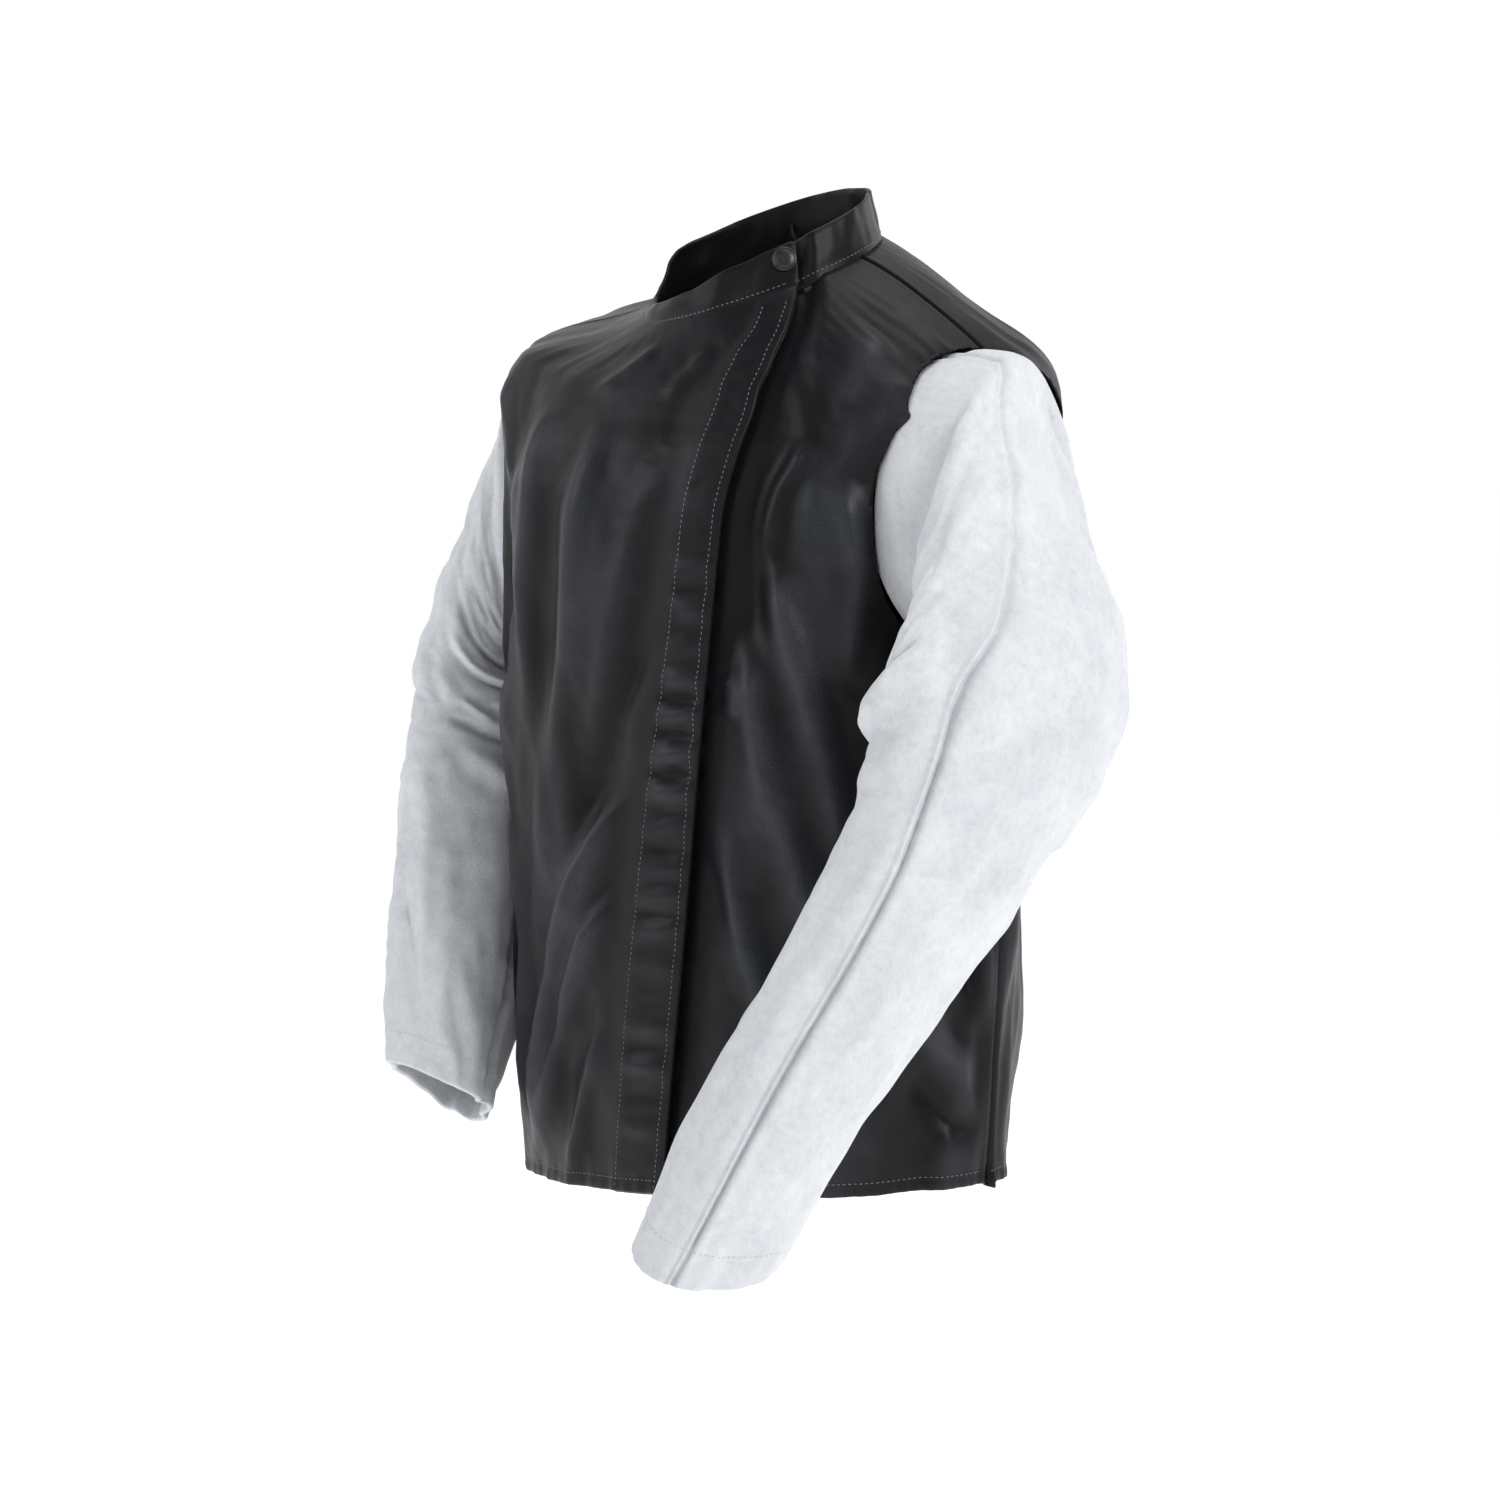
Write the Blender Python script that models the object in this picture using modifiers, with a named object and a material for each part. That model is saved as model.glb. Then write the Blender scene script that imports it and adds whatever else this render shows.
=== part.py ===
"""A welding jacket: black cotton body and stand collar, grey split-leather sleeves, concealed snap front.

Lengths are in metres, +Z is up, -Y is the wearer's front and +X the wearer's left. Every surface below is
written with heights counted up from the hem and x = y = 0 on the middle of the body. The datum empty then
puts the hanger loop, at the back of the neck, on the world's origin.
"""

import math

import bmesh
import bpy
import numpy as np
from mathutils import Matrix, Vector

# Driving dimensions of the body.
NECK_HEIGHT = 0.694
BODY_HEIGHTS = (0.0, 0.18, 0.36, 0.50, 0.58, 0.612, 0.634, 0.648, 0.672, NECK_HEIGHT)
BODY_HALF_WIDTHS = (0.220, 0.232, 0.242, 0.243, 0.245, 0.243, 0.232, 0.208, 0.150, 0.096)
BODY_HALF_DEPTHS = (0.130, 0.137, 0.142, 0.140, 0.130, 0.121, 0.113, 0.107, 0.095, 0.085)
NECK_FORWARD_SLOPE = 0.38
SIDE_SLOPE_HEIGHTS = (0.0, 0.50, 0.634, NECK_HEIGHT)
SIDE_SLOPES = (0.0, 0.0, -0.06, 0.13)
COLLAR_FOOT = 0.0015
COLLAR_HEIGHT = 0.040
COLLAR_LEAN = 0.25
NAPE = Vector((0.0, 0.071, 0.716))
LOOP_RADIUS = 0.0016
LOOP_HALF_WIDTH = 0.030
LOOP_DROP = 0.022

# Thicknesses and the gaps that sewn pieces keep to each other.
CLOTH = 0.0016
COLLAR_CLOTH = 0.0022
LEATHER = 0.0022
LINING = 0.0014
SEAM_GAP = 0.0008
LAYER_GAP = 0.0006
HEM_DEPTH = 0.026
LINING_FOOT = 0.001
UNDERLAP_DEPTH = 0.0090
COLLAR_UNDERLAP_DEPTH = 0.0066

# The seam gap as an angle, in radians, at the usual radius of the body, the collar and a sleeve.
BODY_SEAM = SEAM_GAP / 0.20
COLLAR_SEAM = SEAM_GAP / 0.09
SLEEVE_SEAM = SEAM_GAP / 0.033

# Front closure: angles round the body, in degrees, of the placket's two edges at rising heights.
FREE_EDGE_HEIGHTS = (0.0, 0.20, 0.37, 0.56, 0.636, 0.66, 0.676, NECK_HEIGHT)
FREE_EDGE_ANGLES = (-88.0, -80.5, -76.0, -71.5, -69.0, -62.0, -52.0, -37.0)
INNER_EDGE_HEIGHTS = (0.0, 0.128, 0.27, 0.43, 0.54, 0.64, 0.664, 0.678, NECK_HEIGHT)
INNER_EDGE_ANGLES = (-101.5, -96.5, -90.5, -84.0, -81.0, -78.0, -72.5, -64.0, -54.0)
UNDERLAP_MARGIN = 4.0
UNDERLAP_SINKS_OVER = (2.0, 14.0)
COLLAR_UNDERLAP_SINKS_OVER = (1.0, 10.0)
PLACKET_TOP_MARGIN = 0.001
PLACKET_FACING_RISE = -0.0035
PLACKET_FACING_TOP_MARGIN = 0.008
UNDERLAP_FACING_TOP_MARGIN = 0.012
CROWDING = 1.5
SNAP_HEIGHTS = (0.105, 0.220, 0.335, 0.450, 0.562)
SNAP_HOLE_RADIUS = 0.0019
SNAP_HOLE_LENGTH = 0.020
SNAP_HOLE_MIDDLE = -0.0085
TURNED_STEPS = 10
TURNED_MERGE = 0.00002
COLLAR_SNAP_ANGLE = -43.0
COLLAR_SNAP_RISE = 0.022

# Folds on which the two fronts open: the direction across each fold and the fold's distance along it.
RIGHT_FOLD_ACROSS = np.array((1.0, 0.0, -0.0803))
RIGHT_FOLD_DISTANCE = -0.105
RIGHT_FOLD_HALF = 0.030
RIGHT_HINGE_NECK = Vector((-0.062, -0.089, 0.660))
RIGHT_HINGE_HEM = Vector((-0.111, -0.133, 0.0))
LEFT_FOLD_ACROSS = np.array((-0.8, -0.6, 0.0))
LEFT_FOLD_DISTANCE = -0.0575
LEFT_FOLD_HALF = 0.016
LEFT_HINGE_NECK = Vector((0.104, -0.034, 0.695))
LEFT_HINGE_HEM = Vector((0.152, -0.110, 0.0))

# Armholes: each is the outline of its sleeve's first section, seen from the side, with this much to spare.
ARMHOLE_CLEARANCE = 0.0012
ARMHOLE_CUT_END = 0.360

# Sleeve sections from armhole to cuff: outer x and z, inner x and z, y of the centre, half depth.
LEFT_SLEEVE = (
    (0.180, 0.636, 0.180, 0.388, -0.002, 0.078),
    (0.250, 0.636, 0.250, 0.388, -0.002, 0.078),
    (0.264, 0.611, 0.250, 0.381, -0.012, 0.078),
    (0.276, 0.569, 0.250, 0.372, -0.024, 0.078),
    (0.290, 0.517, 0.248, 0.362, -0.040, 0.079),
    (0.310, 0.461, 0.244, 0.351, -0.055, 0.084),
    (0.334, 0.405, 0.236, 0.338, -0.072, 0.090),
    (0.347, 0.360, 0.230, 0.318, -0.088, 0.090),
    (0.342, 0.310, 0.221, 0.290, -0.106, 0.080),
    (0.322, 0.255, 0.206, 0.243, -0.137, 0.072),
    (0.292, 0.185, 0.184, 0.172, -0.181, 0.067),
    (0.257, 0.105, 0.158, 0.092, -0.228, 0.060),
    (0.216, -0.008, 0.130, -0.024, -0.291, 0.052),
)
RIGHT_SLEEVE = (
    (0.180, 0.660, 0.180, 0.412, -0.002, 0.078),
    (0.250, 0.660, 0.250, 0.412, -0.002, 0.078),
    (0.262, 0.627, 0.252, 0.402, -0.002, 0.075),
    (0.278, 0.573, 0.253, 0.391, 0.000, 0.074),
    (0.299, 0.509, 0.252, 0.377, 0.004, 0.076),
    (0.325, 0.446, 0.250, 0.360, 0.008, 0.079),
    (0.345, 0.385, 0.249, 0.339, 0.008, 0.080),
    (0.353, 0.330, 0.247, 0.314, 0.002, 0.080),
    (0.352, 0.275, 0.243, 0.266, -0.012, 0.079),
    (0.341, 0.205, 0.235, 0.198, -0.036, 0.074),
    (0.321, 0.130, 0.218, 0.126, -0.070, 0.064),
    (0.293, 0.048, 0.200, 0.040, -0.115, 0.050),
)
SLEEVE_SEAM_FRONT = 40.0
SLEEVE_SEAM_UNDER = 190.0
LEAN_SECTIONS = (3.5, 8.0)
ELBOW_SECTION = 7.4
ELBOW_HALF_LENGTH = 1.15
ELBOW_GAP = 0.05
CUFF_FACING_SECTIONS = 0.40
CUFF_FACING_MARGIN = 0.02
ELBOW_PIVOT_FORWARD = 0.35

CLOTH_BLACK = (0.017, 0.017, 0.020)
CLOTH_LINING = (0.026, 0.026, 0.029)
LEATHER_GREY = (0.55, 0.57, 0.60)
SNAP_DARK = (0.035, 0.035, 0.038)
SNAP_STEEL = (0.52, 0.51, 0.48)


def smooth_curve(xs, ys, x):
    """A curve through the points that never overshoots them: cubic Hermite with harmonic-mean slopes."""
    xs = np.asarray(xs, float)
    ys = np.asarray(ys, float)
    steps = np.diff(ys) / np.diff(xs)
    before, after = steps[:-1], steps[1:]
    same_way = before * after > 0
    total = np.where(same_way, before + after, 1.0)
    inner = np.where(same_way, 2.0 * before * after / total, 0.0)
    slopes = np.concatenate((steps[:1], inner, steps[-1:]))
    x = np.clip(np.asarray(x, float), xs[0], xs[-1])
    k = np.clip(np.searchsorted(xs, x, side="right") - 1, 0, len(xs) - 2)
    width = xs[k + 1] - xs[k]
    t = (x - xs[k]) / width
    start = (1 + 2 * t) * (1 - t) ** 2 * ys[k] + t * (1 - t) ** 2 * width * slopes[k]
    end = t * t * (3 - 2 * t) * ys[k + 1] + t * t * (t - 1) * width * slopes[k + 1]
    return start + end


def smoothstep(low, high, x):
    t = np.clip((x - low) / (high - low), 0.0, 1.0)
    return t * t * (3.0 - 2.0 * t)


def body_point(angle, height):
    """The outer face of the body. Angle 0 is the wearer's left side, -90 degrees the middle of the front."""
    angle = np.asarray(angle, float)
    height = np.asarray(height, float)
    half_width = smooth_curve(BODY_HEIGHTS, BODY_HALF_WIDTHS, height)
    half_depth = smooth_curve(BODY_HEIGHTS, BODY_HALF_DEPTHS, height)
    cosine, sine = np.cos(angle), np.sin(angle)
    blade = smoothstep(0.38, 0.54, height) * (1.0 - smoothstep(0.60, 0.66, height))
    power = 2.0 / (2.0 + 1.5 * blade * (sine > 0.0))
    x = half_width * np.sign(cosine) * np.abs(cosine) ** power
    y = half_depth * np.sign(sine) * np.abs(sine) ** power
    forward = NECK_FORWARD_SLOPE * smoothstep(0.50, NECK_HEIGHT, height)
    sideways = smooth_curve(SIDE_SLOPE_HEIGHTS, SIDE_SLOPES, height)
    return np.stack(np.broadcast_arrays(x, y, height + forward * y + sideways * x), -1)


def collar_point(angle, rise):
    """The outer face of the collar, which leans inwards as it rises from the neck seam."""
    angle = np.asarray(angle, float)
    rise = np.asarray(rise, float)
    lean = -COLLAR_LEAN * rise
    up = np.stack(np.broadcast_arrays(lean * np.cos(angle), lean * np.sin(angle), rise), -1)
    return body_point(angle, NECK_HEIGHT) + up


def outward(surface, angle, height):
    """Unit normals of a surface, pointing away from the wearer."""
    step = 1e-4
    along = surface(angle + step, height) - surface(angle - step, height)
    up = surface(angle, height + step) - surface(angle, height - step)
    normal = np.cross(along, up)
    return normal / np.linalg.norm(normal, axis=-1, keepdims=True)


def raised(surface, angle, height, rise):
    """A point of a surface moved out along its normal, or in where rise is negative."""
    rise = np.asarray(rise, float)[..., None]
    return surface(angle, height) + outward(surface, angle, height) * rise


def free_edge(height):
    return np.radians(smooth_curve(FREE_EDGE_HEIGHTS, FREE_EDGE_ANGLES, height))


def inner_edge(height):
    return np.radians(smooth_curve(INNER_EDGE_HEIGHTS, INNER_EDGE_ANGLES, height))


def underlap_edge(height):
    return inner_edge(height) - math.radians(UNDERLAP_MARGIN)


def snap_angle(height):
    return 0.5 * (free_edge(height) + inner_edge(height))


def fold_angle(across, distance, height, first, last):
    """The angle round the body at which each height meets a plane, given by its normal and distance."""
    angles = np.radians(np.linspace(first, last, 241))
    found = []
    for level in np.atleast_1d(height):
        reach = body_point(angles, level) @ across
        found.append(np.interp(distance, reach, angles))
    return np.array(found).reshape(np.shape(height))


def right_fold(height, offset=0.0):
    distance = RIGHT_FOLD_DISTANCE + offset
    return fold_angle(RIGHT_FOLD_ACROSS, distance, height, -180.0, -40.0)


def left_fold(height, offset=0.0):
    distance = LEFT_FOLD_DISTANCE + offset
    return fold_angle(LEFT_FOLD_ACROSS, distance, height, 20.0, -120.0)


def underlap_rise(angle, height):
    """How far the left front sinks as it passes under the placket."""
    lead = np.degrees(angle - free_edge(height))
    return -UNDERLAP_DEPTH * (1.0 - smoothstep(*UNDERLAP_SINKS_OVER, lead))


def collar_underlap_rise(angle, rise):
    lead = np.degrees(angle - free_edge(NECK_HEIGHT)) + 0.0 * rise
    return -COLLAR_UNDERLAP_DEPTH * (1.0 - smoothstep(*COLLAR_UNDERLAP_SINKS_OVER, lead))


def sleeve_point(sections, section, turn, side, inset=0.0):
    """A point of a sleeve. Turn 0 is its outer line, 90 degrees its front and 180 degrees its underarm line.

    Side is 1 for the wearer's left sleeve and -1 for the right one, whose sections are mirrored.
    """
    table = np.array(sections)
    numbers = np.arange(len(table))

    def columns(at):
        return [smooth_curve(numbers, table[:, k], at) for k in range(6)]

    def middle(at):
        outer_x, outer_z, inner_x, inner_z, y, _ = columns(at)
        return np.stack(((outer_x + inner_x) / 2, y, (outer_z + inner_z) / 2), -1)

    section = np.asarray(section, float)
    outer_x, outer_z, inner_x, inner_z, _, half_depth = columns(section)
    reach = np.stack(((outer_x - inner_x) / 2, 0.0 * outer_x, (outer_z - inner_z) / 2), -1)
    along = middle(np.minimum(section + 0.3, numbers[-1])) - middle(np.maximum(section - 0.3, 0.0))
    square = np.cross(along, reach)
    square = square / np.linalg.norm(square, axis=-1, keepdims=True)
    leaning = smoothstep(*LEAN_SECTIONS, section)[..., None]
    front = leaning * square + (1.0 - leaning) * np.array((0.0, -1.0, 0.0))
    front = front / np.linalg.norm(front, axis=-1, keepdims=True)
    size = np.linalg.norm(reach, axis=-1, keepdims=True)
    reach = reach * (size - inset) / size
    turn = np.asarray(turn, float)[..., None]
    depth = (half_depth - inset)[..., None]
    point = middle(section) + np.cos(turn) * reach + np.sin(turn) * depth * front
    return point * np.array((side, 1.0, 1.0))


def new_material(name, colour, roughness, metallic):
    material = bpy.data.materials.new(name)
    material.use_nodes = True
    shader = material.node_tree.nodes["Principled BSDF"]
    shader.inputs["Base Color"].default_value = (*colour, 1.0)
    shader.inputs["Roughness"].default_value = roughness
    shader.inputs["Metallic"].default_value = metallic
    material.diffuse_color = (*colour, 1.0)
    return material


class Jacket:
    """Holds the collections, the materials and the pivot of each body while the pieces are made."""

    def __init__(self):
        for obj in list(bpy.data.objects):
            bpy.data.objects.remove(obj)
        self.parts = bpy.data.collections.new("welding_jacket")
        self.cutters = bpy.data.collections.new("cutters")
        bpy.context.scene.collection.children.link(self.parts)
        bpy.context.scene.collection.children.link(self.cutters)
        self.datum = self.empty("datum", -NAPE, None)
        self.pivots = {"torso": (self.datum, Vector((0.0, 0.0, 0.0)))}

    def empty(self, name, location, parent):
        obj = bpy.data.objects.new(name, None)
        obj.location = location
        obj.parent = parent
        obj.empty_display_size = 0.03
        self.parts.objects.link(obj)
        return obj

    def add_pivot(self, body, point):
        self.pivots[body] = (self.empty(body + "_pivot", point, self.datum), Vector(point))

    def add(self, name, mesh, body, look, matrix=None):
        obj = bpy.data.objects.new(name, mesh)
        parent, pivot = self.pivots[body]
        obj.parent = parent
        if matrix is not None:
            obj.matrix_local = Matrix.Translation(-pivot) @ matrix
        if not mesh.materials:
            mesh.materials.append(new_material(name, *look))
        self.parts.objects.link(obj)
        return obj

    def shell(self, name, body, points, thickness, look):
        """A curved sheet of cloth or leather: a grid of points on its outer face, made solid inwards."""
        _, pivot = self.pivots[body]
        rows, columns = points.shape[:2]
        mesh = bpy.data.meshes.new(name)
        corners = [Vector(p) - pivot for p in points.reshape(-1, 3)]
        faces = [
            (r * columns + c, r * columns + c + 1, (r + 1) * columns + c + 1, (r + 1) * columns + c)
            for r in range(rows - 1)
            for c in range(columns - 1)
        ]
        mesh.from_pydata(corners, [], faces)
        obj = self.add(name, mesh, body, look)
        solidify = obj.modifiers.new("thickness", "SOLIDIFY")
        solidify.thickness = thickness
        solidify.offset = -1.0
        mesh.shade_smooth()
        mesh.set_sharp_from_angle(angle=math.radians(50.0))
        return obj

    def cut(self, obj, cutter):
        boolean = obj.modifiers.new("cut", "BOOLEAN")
        boolean.operation = "DIFFERENCE"
        boolean.object = cutter

    def add_cutter(self, name, mesh):
        obj = bpy.data.objects.new(name, mesh)
        obj.parent = self.datum
        obj.hide_render = True
        obj.display_type = "WIRE"
        self.cutters.objects.link(obj)
        return obj


def band(start, end, low, high, columns, rows, surface, rise=0.0):
    """A grid of points between two edges, each an angle or a function of height, with rows crowded at the top."""
    heights = low + (high - low) * (1.0 - (1.0 - np.linspace(0.0, 1.0, rows + 1)) ** CROWDING)
    first = start(heights) if callable(start) else np.full_like(heights, start)
    last = end(heights) if callable(end) else np.full_like(heights, end)
    share = np.linspace(0.0, 1.0, columns + 1)
    angle = first[:, None] + (last - first)[:, None] * share
    height = np.broadcast_to(heights[:, None], angle.shape)
    lift = rise(angle, height) if callable(rise) else np.full_like(angle, rise)
    return raised(surface, angle, height, lift)


def armhole_cutter(jacket, name, sections, side):
    """A prism across the body's side with the outline of the sleeve's first section."""
    _, top, _, bottom, y, half_width = sections[0]
    height = (top - bottom) / 2 + ARMHOLE_CLEARANCE
    width = half_width + ARMHOLE_CLEARANCE
    mesh = bpy.data.meshes.new(name)
    shape = bmesh.new()
    start = sections[0][0] - SEAM_GAP
    length = ARMHOLE_CUT_END - start
    bmesh.ops.create_cone(shape, cap_ends=True, segments=40, radius1=1.0, radius2=1.0, depth=length)
    size = Matrix.Diagonal((height, width, 1.0, 1.0))
    lay = Matrix.Rotation(math.radians(90.0), 4, "Y")
    place = Matrix.Translation((side * (start + length / 2), y, (top + bottom) / 2))
    shape.transform(place @ lay @ size)
    shape.to_mesh(mesh)
    shape.free()
    return jacket.add_cutter(name, mesh)


def snap_frame(surface, angle, height):
    """A matrix whose origin is on a surface and whose Z axis is the surface's outward normal."""
    angle = np.asarray(angle, float)
    height = np.asarray(height, float)
    normal = Vector(outward(surface, angle, height))
    turn = normal.to_track_quat("Z", "Y").to_matrix().to_4x4()
    return Matrix.Translation(Vector(surface(angle, height))) @ turn


def snap_frames():
    """The places of the five concealed snaps, bottom to top, and then of the collar's snap."""
    frames = [snap_frame(body_point, snap_angle(height), height) for height in SNAP_HEIGHTS]
    collar = snap_frame(collar_point, math.radians(COLLAR_SNAP_ANGLE), COLLAR_SNAP_RISE)
    return frames, collar


def snap_hole_cutter(jacket, name, frames):
    """Small cylinders along each snap's axis, through every layer of the closure."""
    mesh = bpy.data.meshes.new(name)
    shape = bmesh.new()
    for frame in frames:
        bmesh.ops.create_cone(
            shape,
            cap_ends=True,
            segments=TURNED_STEPS,
            radius1=SNAP_HOLE_RADIUS,
            radius2=SNAP_HOLE_RADIUS,
            depth=SNAP_HOLE_LENGTH,
            matrix=frame @ Matrix.Translation((0.0, 0.0, SNAP_HOLE_MIDDLE)),
        )
    shape.to_mesh(mesh)
    shape.free()
    return jacket.add_cutter(name, mesh)


def turned(jacket, name, body, frame, profile, closed, look, mesh=None):
    """A round piece: a profile of (radius, height) points in millimetres, turned about its axis."""
    if mesh is None:
        mesh = bpy.data.meshes.new(name)
        points = [(r / 1000.0, 0.0, z / 1000.0) for r, z in profile]
        edges = [(k, k + 1) for k in range(len(points) - 1)]
        if closed:
            edges.append((len(points) - 1, 0))
        mesh.from_pydata(points, edges, [])
    obj = jacket.add(name, mesh, body, look, frame)
    screw = obj.modifiers.new("turn", "SCREW")
    screw.steps = TURNED_STEPS
    screw.render_steps = TURNED_STEPS
    screw.use_merge_vertices = True
    screw.merge_threshold = TURNED_MERGE
    screw.use_smooth_shade = True
    return obj


def add_snaps(jacket):
    """Each snap is a cap and a socket on the right front, and a stud and a post on the left front."""
    cap = ((0.0, -2.3), (6.0, -2.3), (6.5, -2.6), (6.5, -3.0), (1.5, -3.0), (1.5, -6.3), (0.0, -6.3))
    socket = ((6.0, -5.4), (6.0, -8.0), (3.2, -8.0), (3.2, -6.8), (1.9, -6.8), (1.9, -5.4))
    stud = ((2.7, -7.1), (2.7, -8.3), (5.5, -8.3), (5.5, -8.7), (1.4, -8.7), (1.4, -7.1))
    post = ((0.0, -7.3), (1.0, -7.3), (1.0, -13.1), (5.5, -13.1), (5.5, -13.7), (0.0, -13.7))
    drop = 1000.0 * (UNDERLAP_DEPTH - COLLAR_UNDERLAP_DEPTH)
    turns = np.radians((0.0, 25.0, 50.0, 72.0, 90.0))
    dome = [(9.5 * math.sin(t), 0.6 + 2.4 * math.cos(t)) for t in turns]
    dome += [(9.5, 0.4), (1.5, 0.4), (1.5, -6.3 + drop), (0.0, -6.3 + drop)]
    short_post = ((0.0, -7.3), (1.0, -7.3), (1.0, -11.7), (5.5, -11.7), (5.5, -12.3), (0.0, -12.3))
    frames, collar = snap_frames()
    dark = (SNAP_DARK, 0.35, 0.8)
    steel = (SNAP_STEEL, 0.35, 1.0)
    kinds = (
        ("cap", "right_front", cap, False, steel),
        ("socket", "right_front", socket, True, steel),
        ("stud", "left_front", stud, True, steel),
        ("post", "left_front", post, False, steel),
    )
    for kind, body, profile, closed, look in kinds:
        mesh = None
        for number, frame in enumerate(frames, 1):
            obj = turned(jacket, f"front_snap_{number}_{kind}", body, frame, profile, closed, look, mesh)
            mesh = obj.data
    shifted = collar @ Matrix.Translation((0.0, 0.0, drop / 1000.0))
    turned(jacket, "collar_snap_cap", "right_front", collar, dome, False, dark)
    turned(jacket, "collar_snap_socket", "right_front", shifted, socket, True, steel)
    turned(jacket, "collar_snap_stud", "left_front", shifted, stud, True, steel)
    turned(jacket, "collar_snap_post", "left_front", shifted, short_post, False, steel)


def add_body(jacket, armholes):
    """The back, the side part of each front, the strips that fold and the turned hems."""
    look = (CLOTH_BLACK, 0.65, 0.0)
    seam = BODY_SEAM
    top = NECK_HEIGHT
    back = band(seam, math.pi - seam, 0.0, top, 20, 16, body_point)
    left = band(lambda h: left_fold(h, -LEFT_FOLD_HALF) + seam, -seam, 0.0, top, 8, 16, body_point)
    right = band(
        -math.pi + seam, lambda h: right_fold(h, -RIGHT_FOLD_HALF) - seam, 0.0, top, 8, 16, body_point
    )
    for name, points in (("back_panel", back), ("left_front_panel", left), ("right_front_panel", right)):
        obj = jacket.shell(name, "torso", points, CLOTH, look)
        for side, cutter in armholes.items():
            if name == "back_panel" or name.startswith(side):
                jacket.cut(obj, cutter)
    right_strip = band(
        lambda h: right_fold(h, -RIGHT_FOLD_HALF) + seam,
        lambda h: right_fold(h, RIGHT_FOLD_HALF) - seam,
        0.0, top, 3, 16, body_point,
    )
    left_strip = band(
        lambda h: left_fold(h, LEFT_FOLD_HALF) + seam,
        lambda h: left_fold(h, -LEFT_FOLD_HALF) - seam,
        0.0, top, 3, 16, body_point, underlap_rise,
    )
    jacket.shell("right_front_fold", "torso", right_strip, CLOTH, look)
    jacket.shell("left_front_fold", "torso", left_strip, CLOTH, look)
    under = -(CLOTH + LAYER_GAP)
    hems = (
        ("back_hem_facing", 2 * seam, math.pi - 2 * seam, 20),
        ("left_hem_facing", lambda h: left_fold(h, -LEFT_FOLD_HALF) + 2 * seam, -2 * seam, 8),
        ("right_hem_facing", -math.pi + 2 * seam, lambda h: right_fold(h, -RIGHT_FOLD_HALF) - 2 * seam, 8),
    )
    for name, start, end, columns in hems:
        points = band(start, end, LINING_FOOT, HEM_DEPTH, columns, 1, body_point, under)
        jacket.shell(name, "torso", points, CLOTH, (CLOTH_LINING, 0.75, 0.0))


def add_fronts(jacket, holes):
    """The opening part of each front, with the placket, its facing and the facing of the underlap."""
    look = (CLOTH_BLACK, 0.65, 0.0)
    lining = (CLOTH_LINING, 0.75, 0.0)
    seam = BODY_SEAM
    top = NECK_HEIGHT
    flap = band(
        lambda h: right_fold(h, RIGHT_FOLD_HALF) + seam,
        lambda h: free_edge(h) - 3 * seam,
        0.0, top, 7, 20, body_point,
    )
    jacket.shell("right_front_flap", "right_front", flap, CLOTH, look)
    outer = CLOTH + LAYER_GAP
    placket = band(inner_edge, free_edge, 0.0, top - PLACKET_TOP_MARGIN, 4, 22, body_point, outer)
    jacket.shell("front_placket", "right_front", placket, CLOTH, look)
    facing = band(
        inner_edge,
        lambda h: free_edge(h) - 3 * seam,
        LINING_FOOT, top - PLACKET_FACING_TOP_MARGIN, 4, 20, body_point, PLACKET_FACING_RISE,
    )
    obj = jacket.shell("placket_facing", "right_front", facing, LINING, lining)
    jacket.cut(obj, holes)
    left = band(
        underlap_edge, lambda h: left_fold(h, LEFT_FOLD_HALF) - seam, 0.0, top, 9, 20, body_point, underlap_rise
    )
    obj = jacket.shell("left_front_flap", "left_front", left, CLOTH, look)
    jacket.cut(obj, holes)
    back_of_left = -(UNDERLAP_DEPTH + CLOTH + LAYER_GAP)
    strip = band(
        lambda h: underlap_edge(h) + seam,
        free_edge,
        LINING_FOOT, top - UNDERLAP_FACING_TOP_MARGIN, 4, 20, body_point, back_of_left,
    )
    obj = jacket.shell("underlap_facing", "left_front", strip, LINING, lining)
    jacket.cut(obj, holes)


def add_collar(jacket, hole):
    """A stand collar in four lengths: round the back, the overlap, the underlap and the two that fold."""
    look = (CLOTH_BLACK, 0.6, 0.0)
    low, high = COLLAR_FOOT, COLLAR_HEIGHT
    gap = COLLAR_SEAM
    right_low = float(right_fold(NECK_HEIGHT, -RIGHT_FOLD_HALF))
    right_high = float(right_fold(NECK_HEIGHT, RIGHT_FOLD_HALF))
    left_low = float(left_fold(NECK_HEIGHT, LEFT_FOLD_HALF))
    left_high = float(left_fold(NECK_HEIGHT, -LEFT_FOLD_HALF))
    end = float(free_edge(NECK_HEIGHT))
    start = float(underlap_edge(NECK_HEIGHT))
    around = 2 * math.pi + right_low
    lengths = (
        ("collar_back", "torso", left_high + gap, around - gap, 20, 0.0),
        ("collar_right_fold", "torso", right_low + gap, right_high - gap, 4, 0.0),
        ("collar_right", "right_front", right_high + gap, end, 10, 0.0),
        ("collar_left_fold", "torso", left_low + gap, left_high - gap, 4, collar_underlap_rise),
        ("collar_left", "left_front", start, left_low - gap, 8, collar_underlap_rise),
    )
    for name, body, first, last, columns, rise in lengths:
        points = band(first, last, low, high, columns, 2, collar_point, rise)
        obj = jacket.shell(name, body, points, COLLAR_CLOTH, look)
        if body != "torso":
            jacket.cut(obj, hole)


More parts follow.
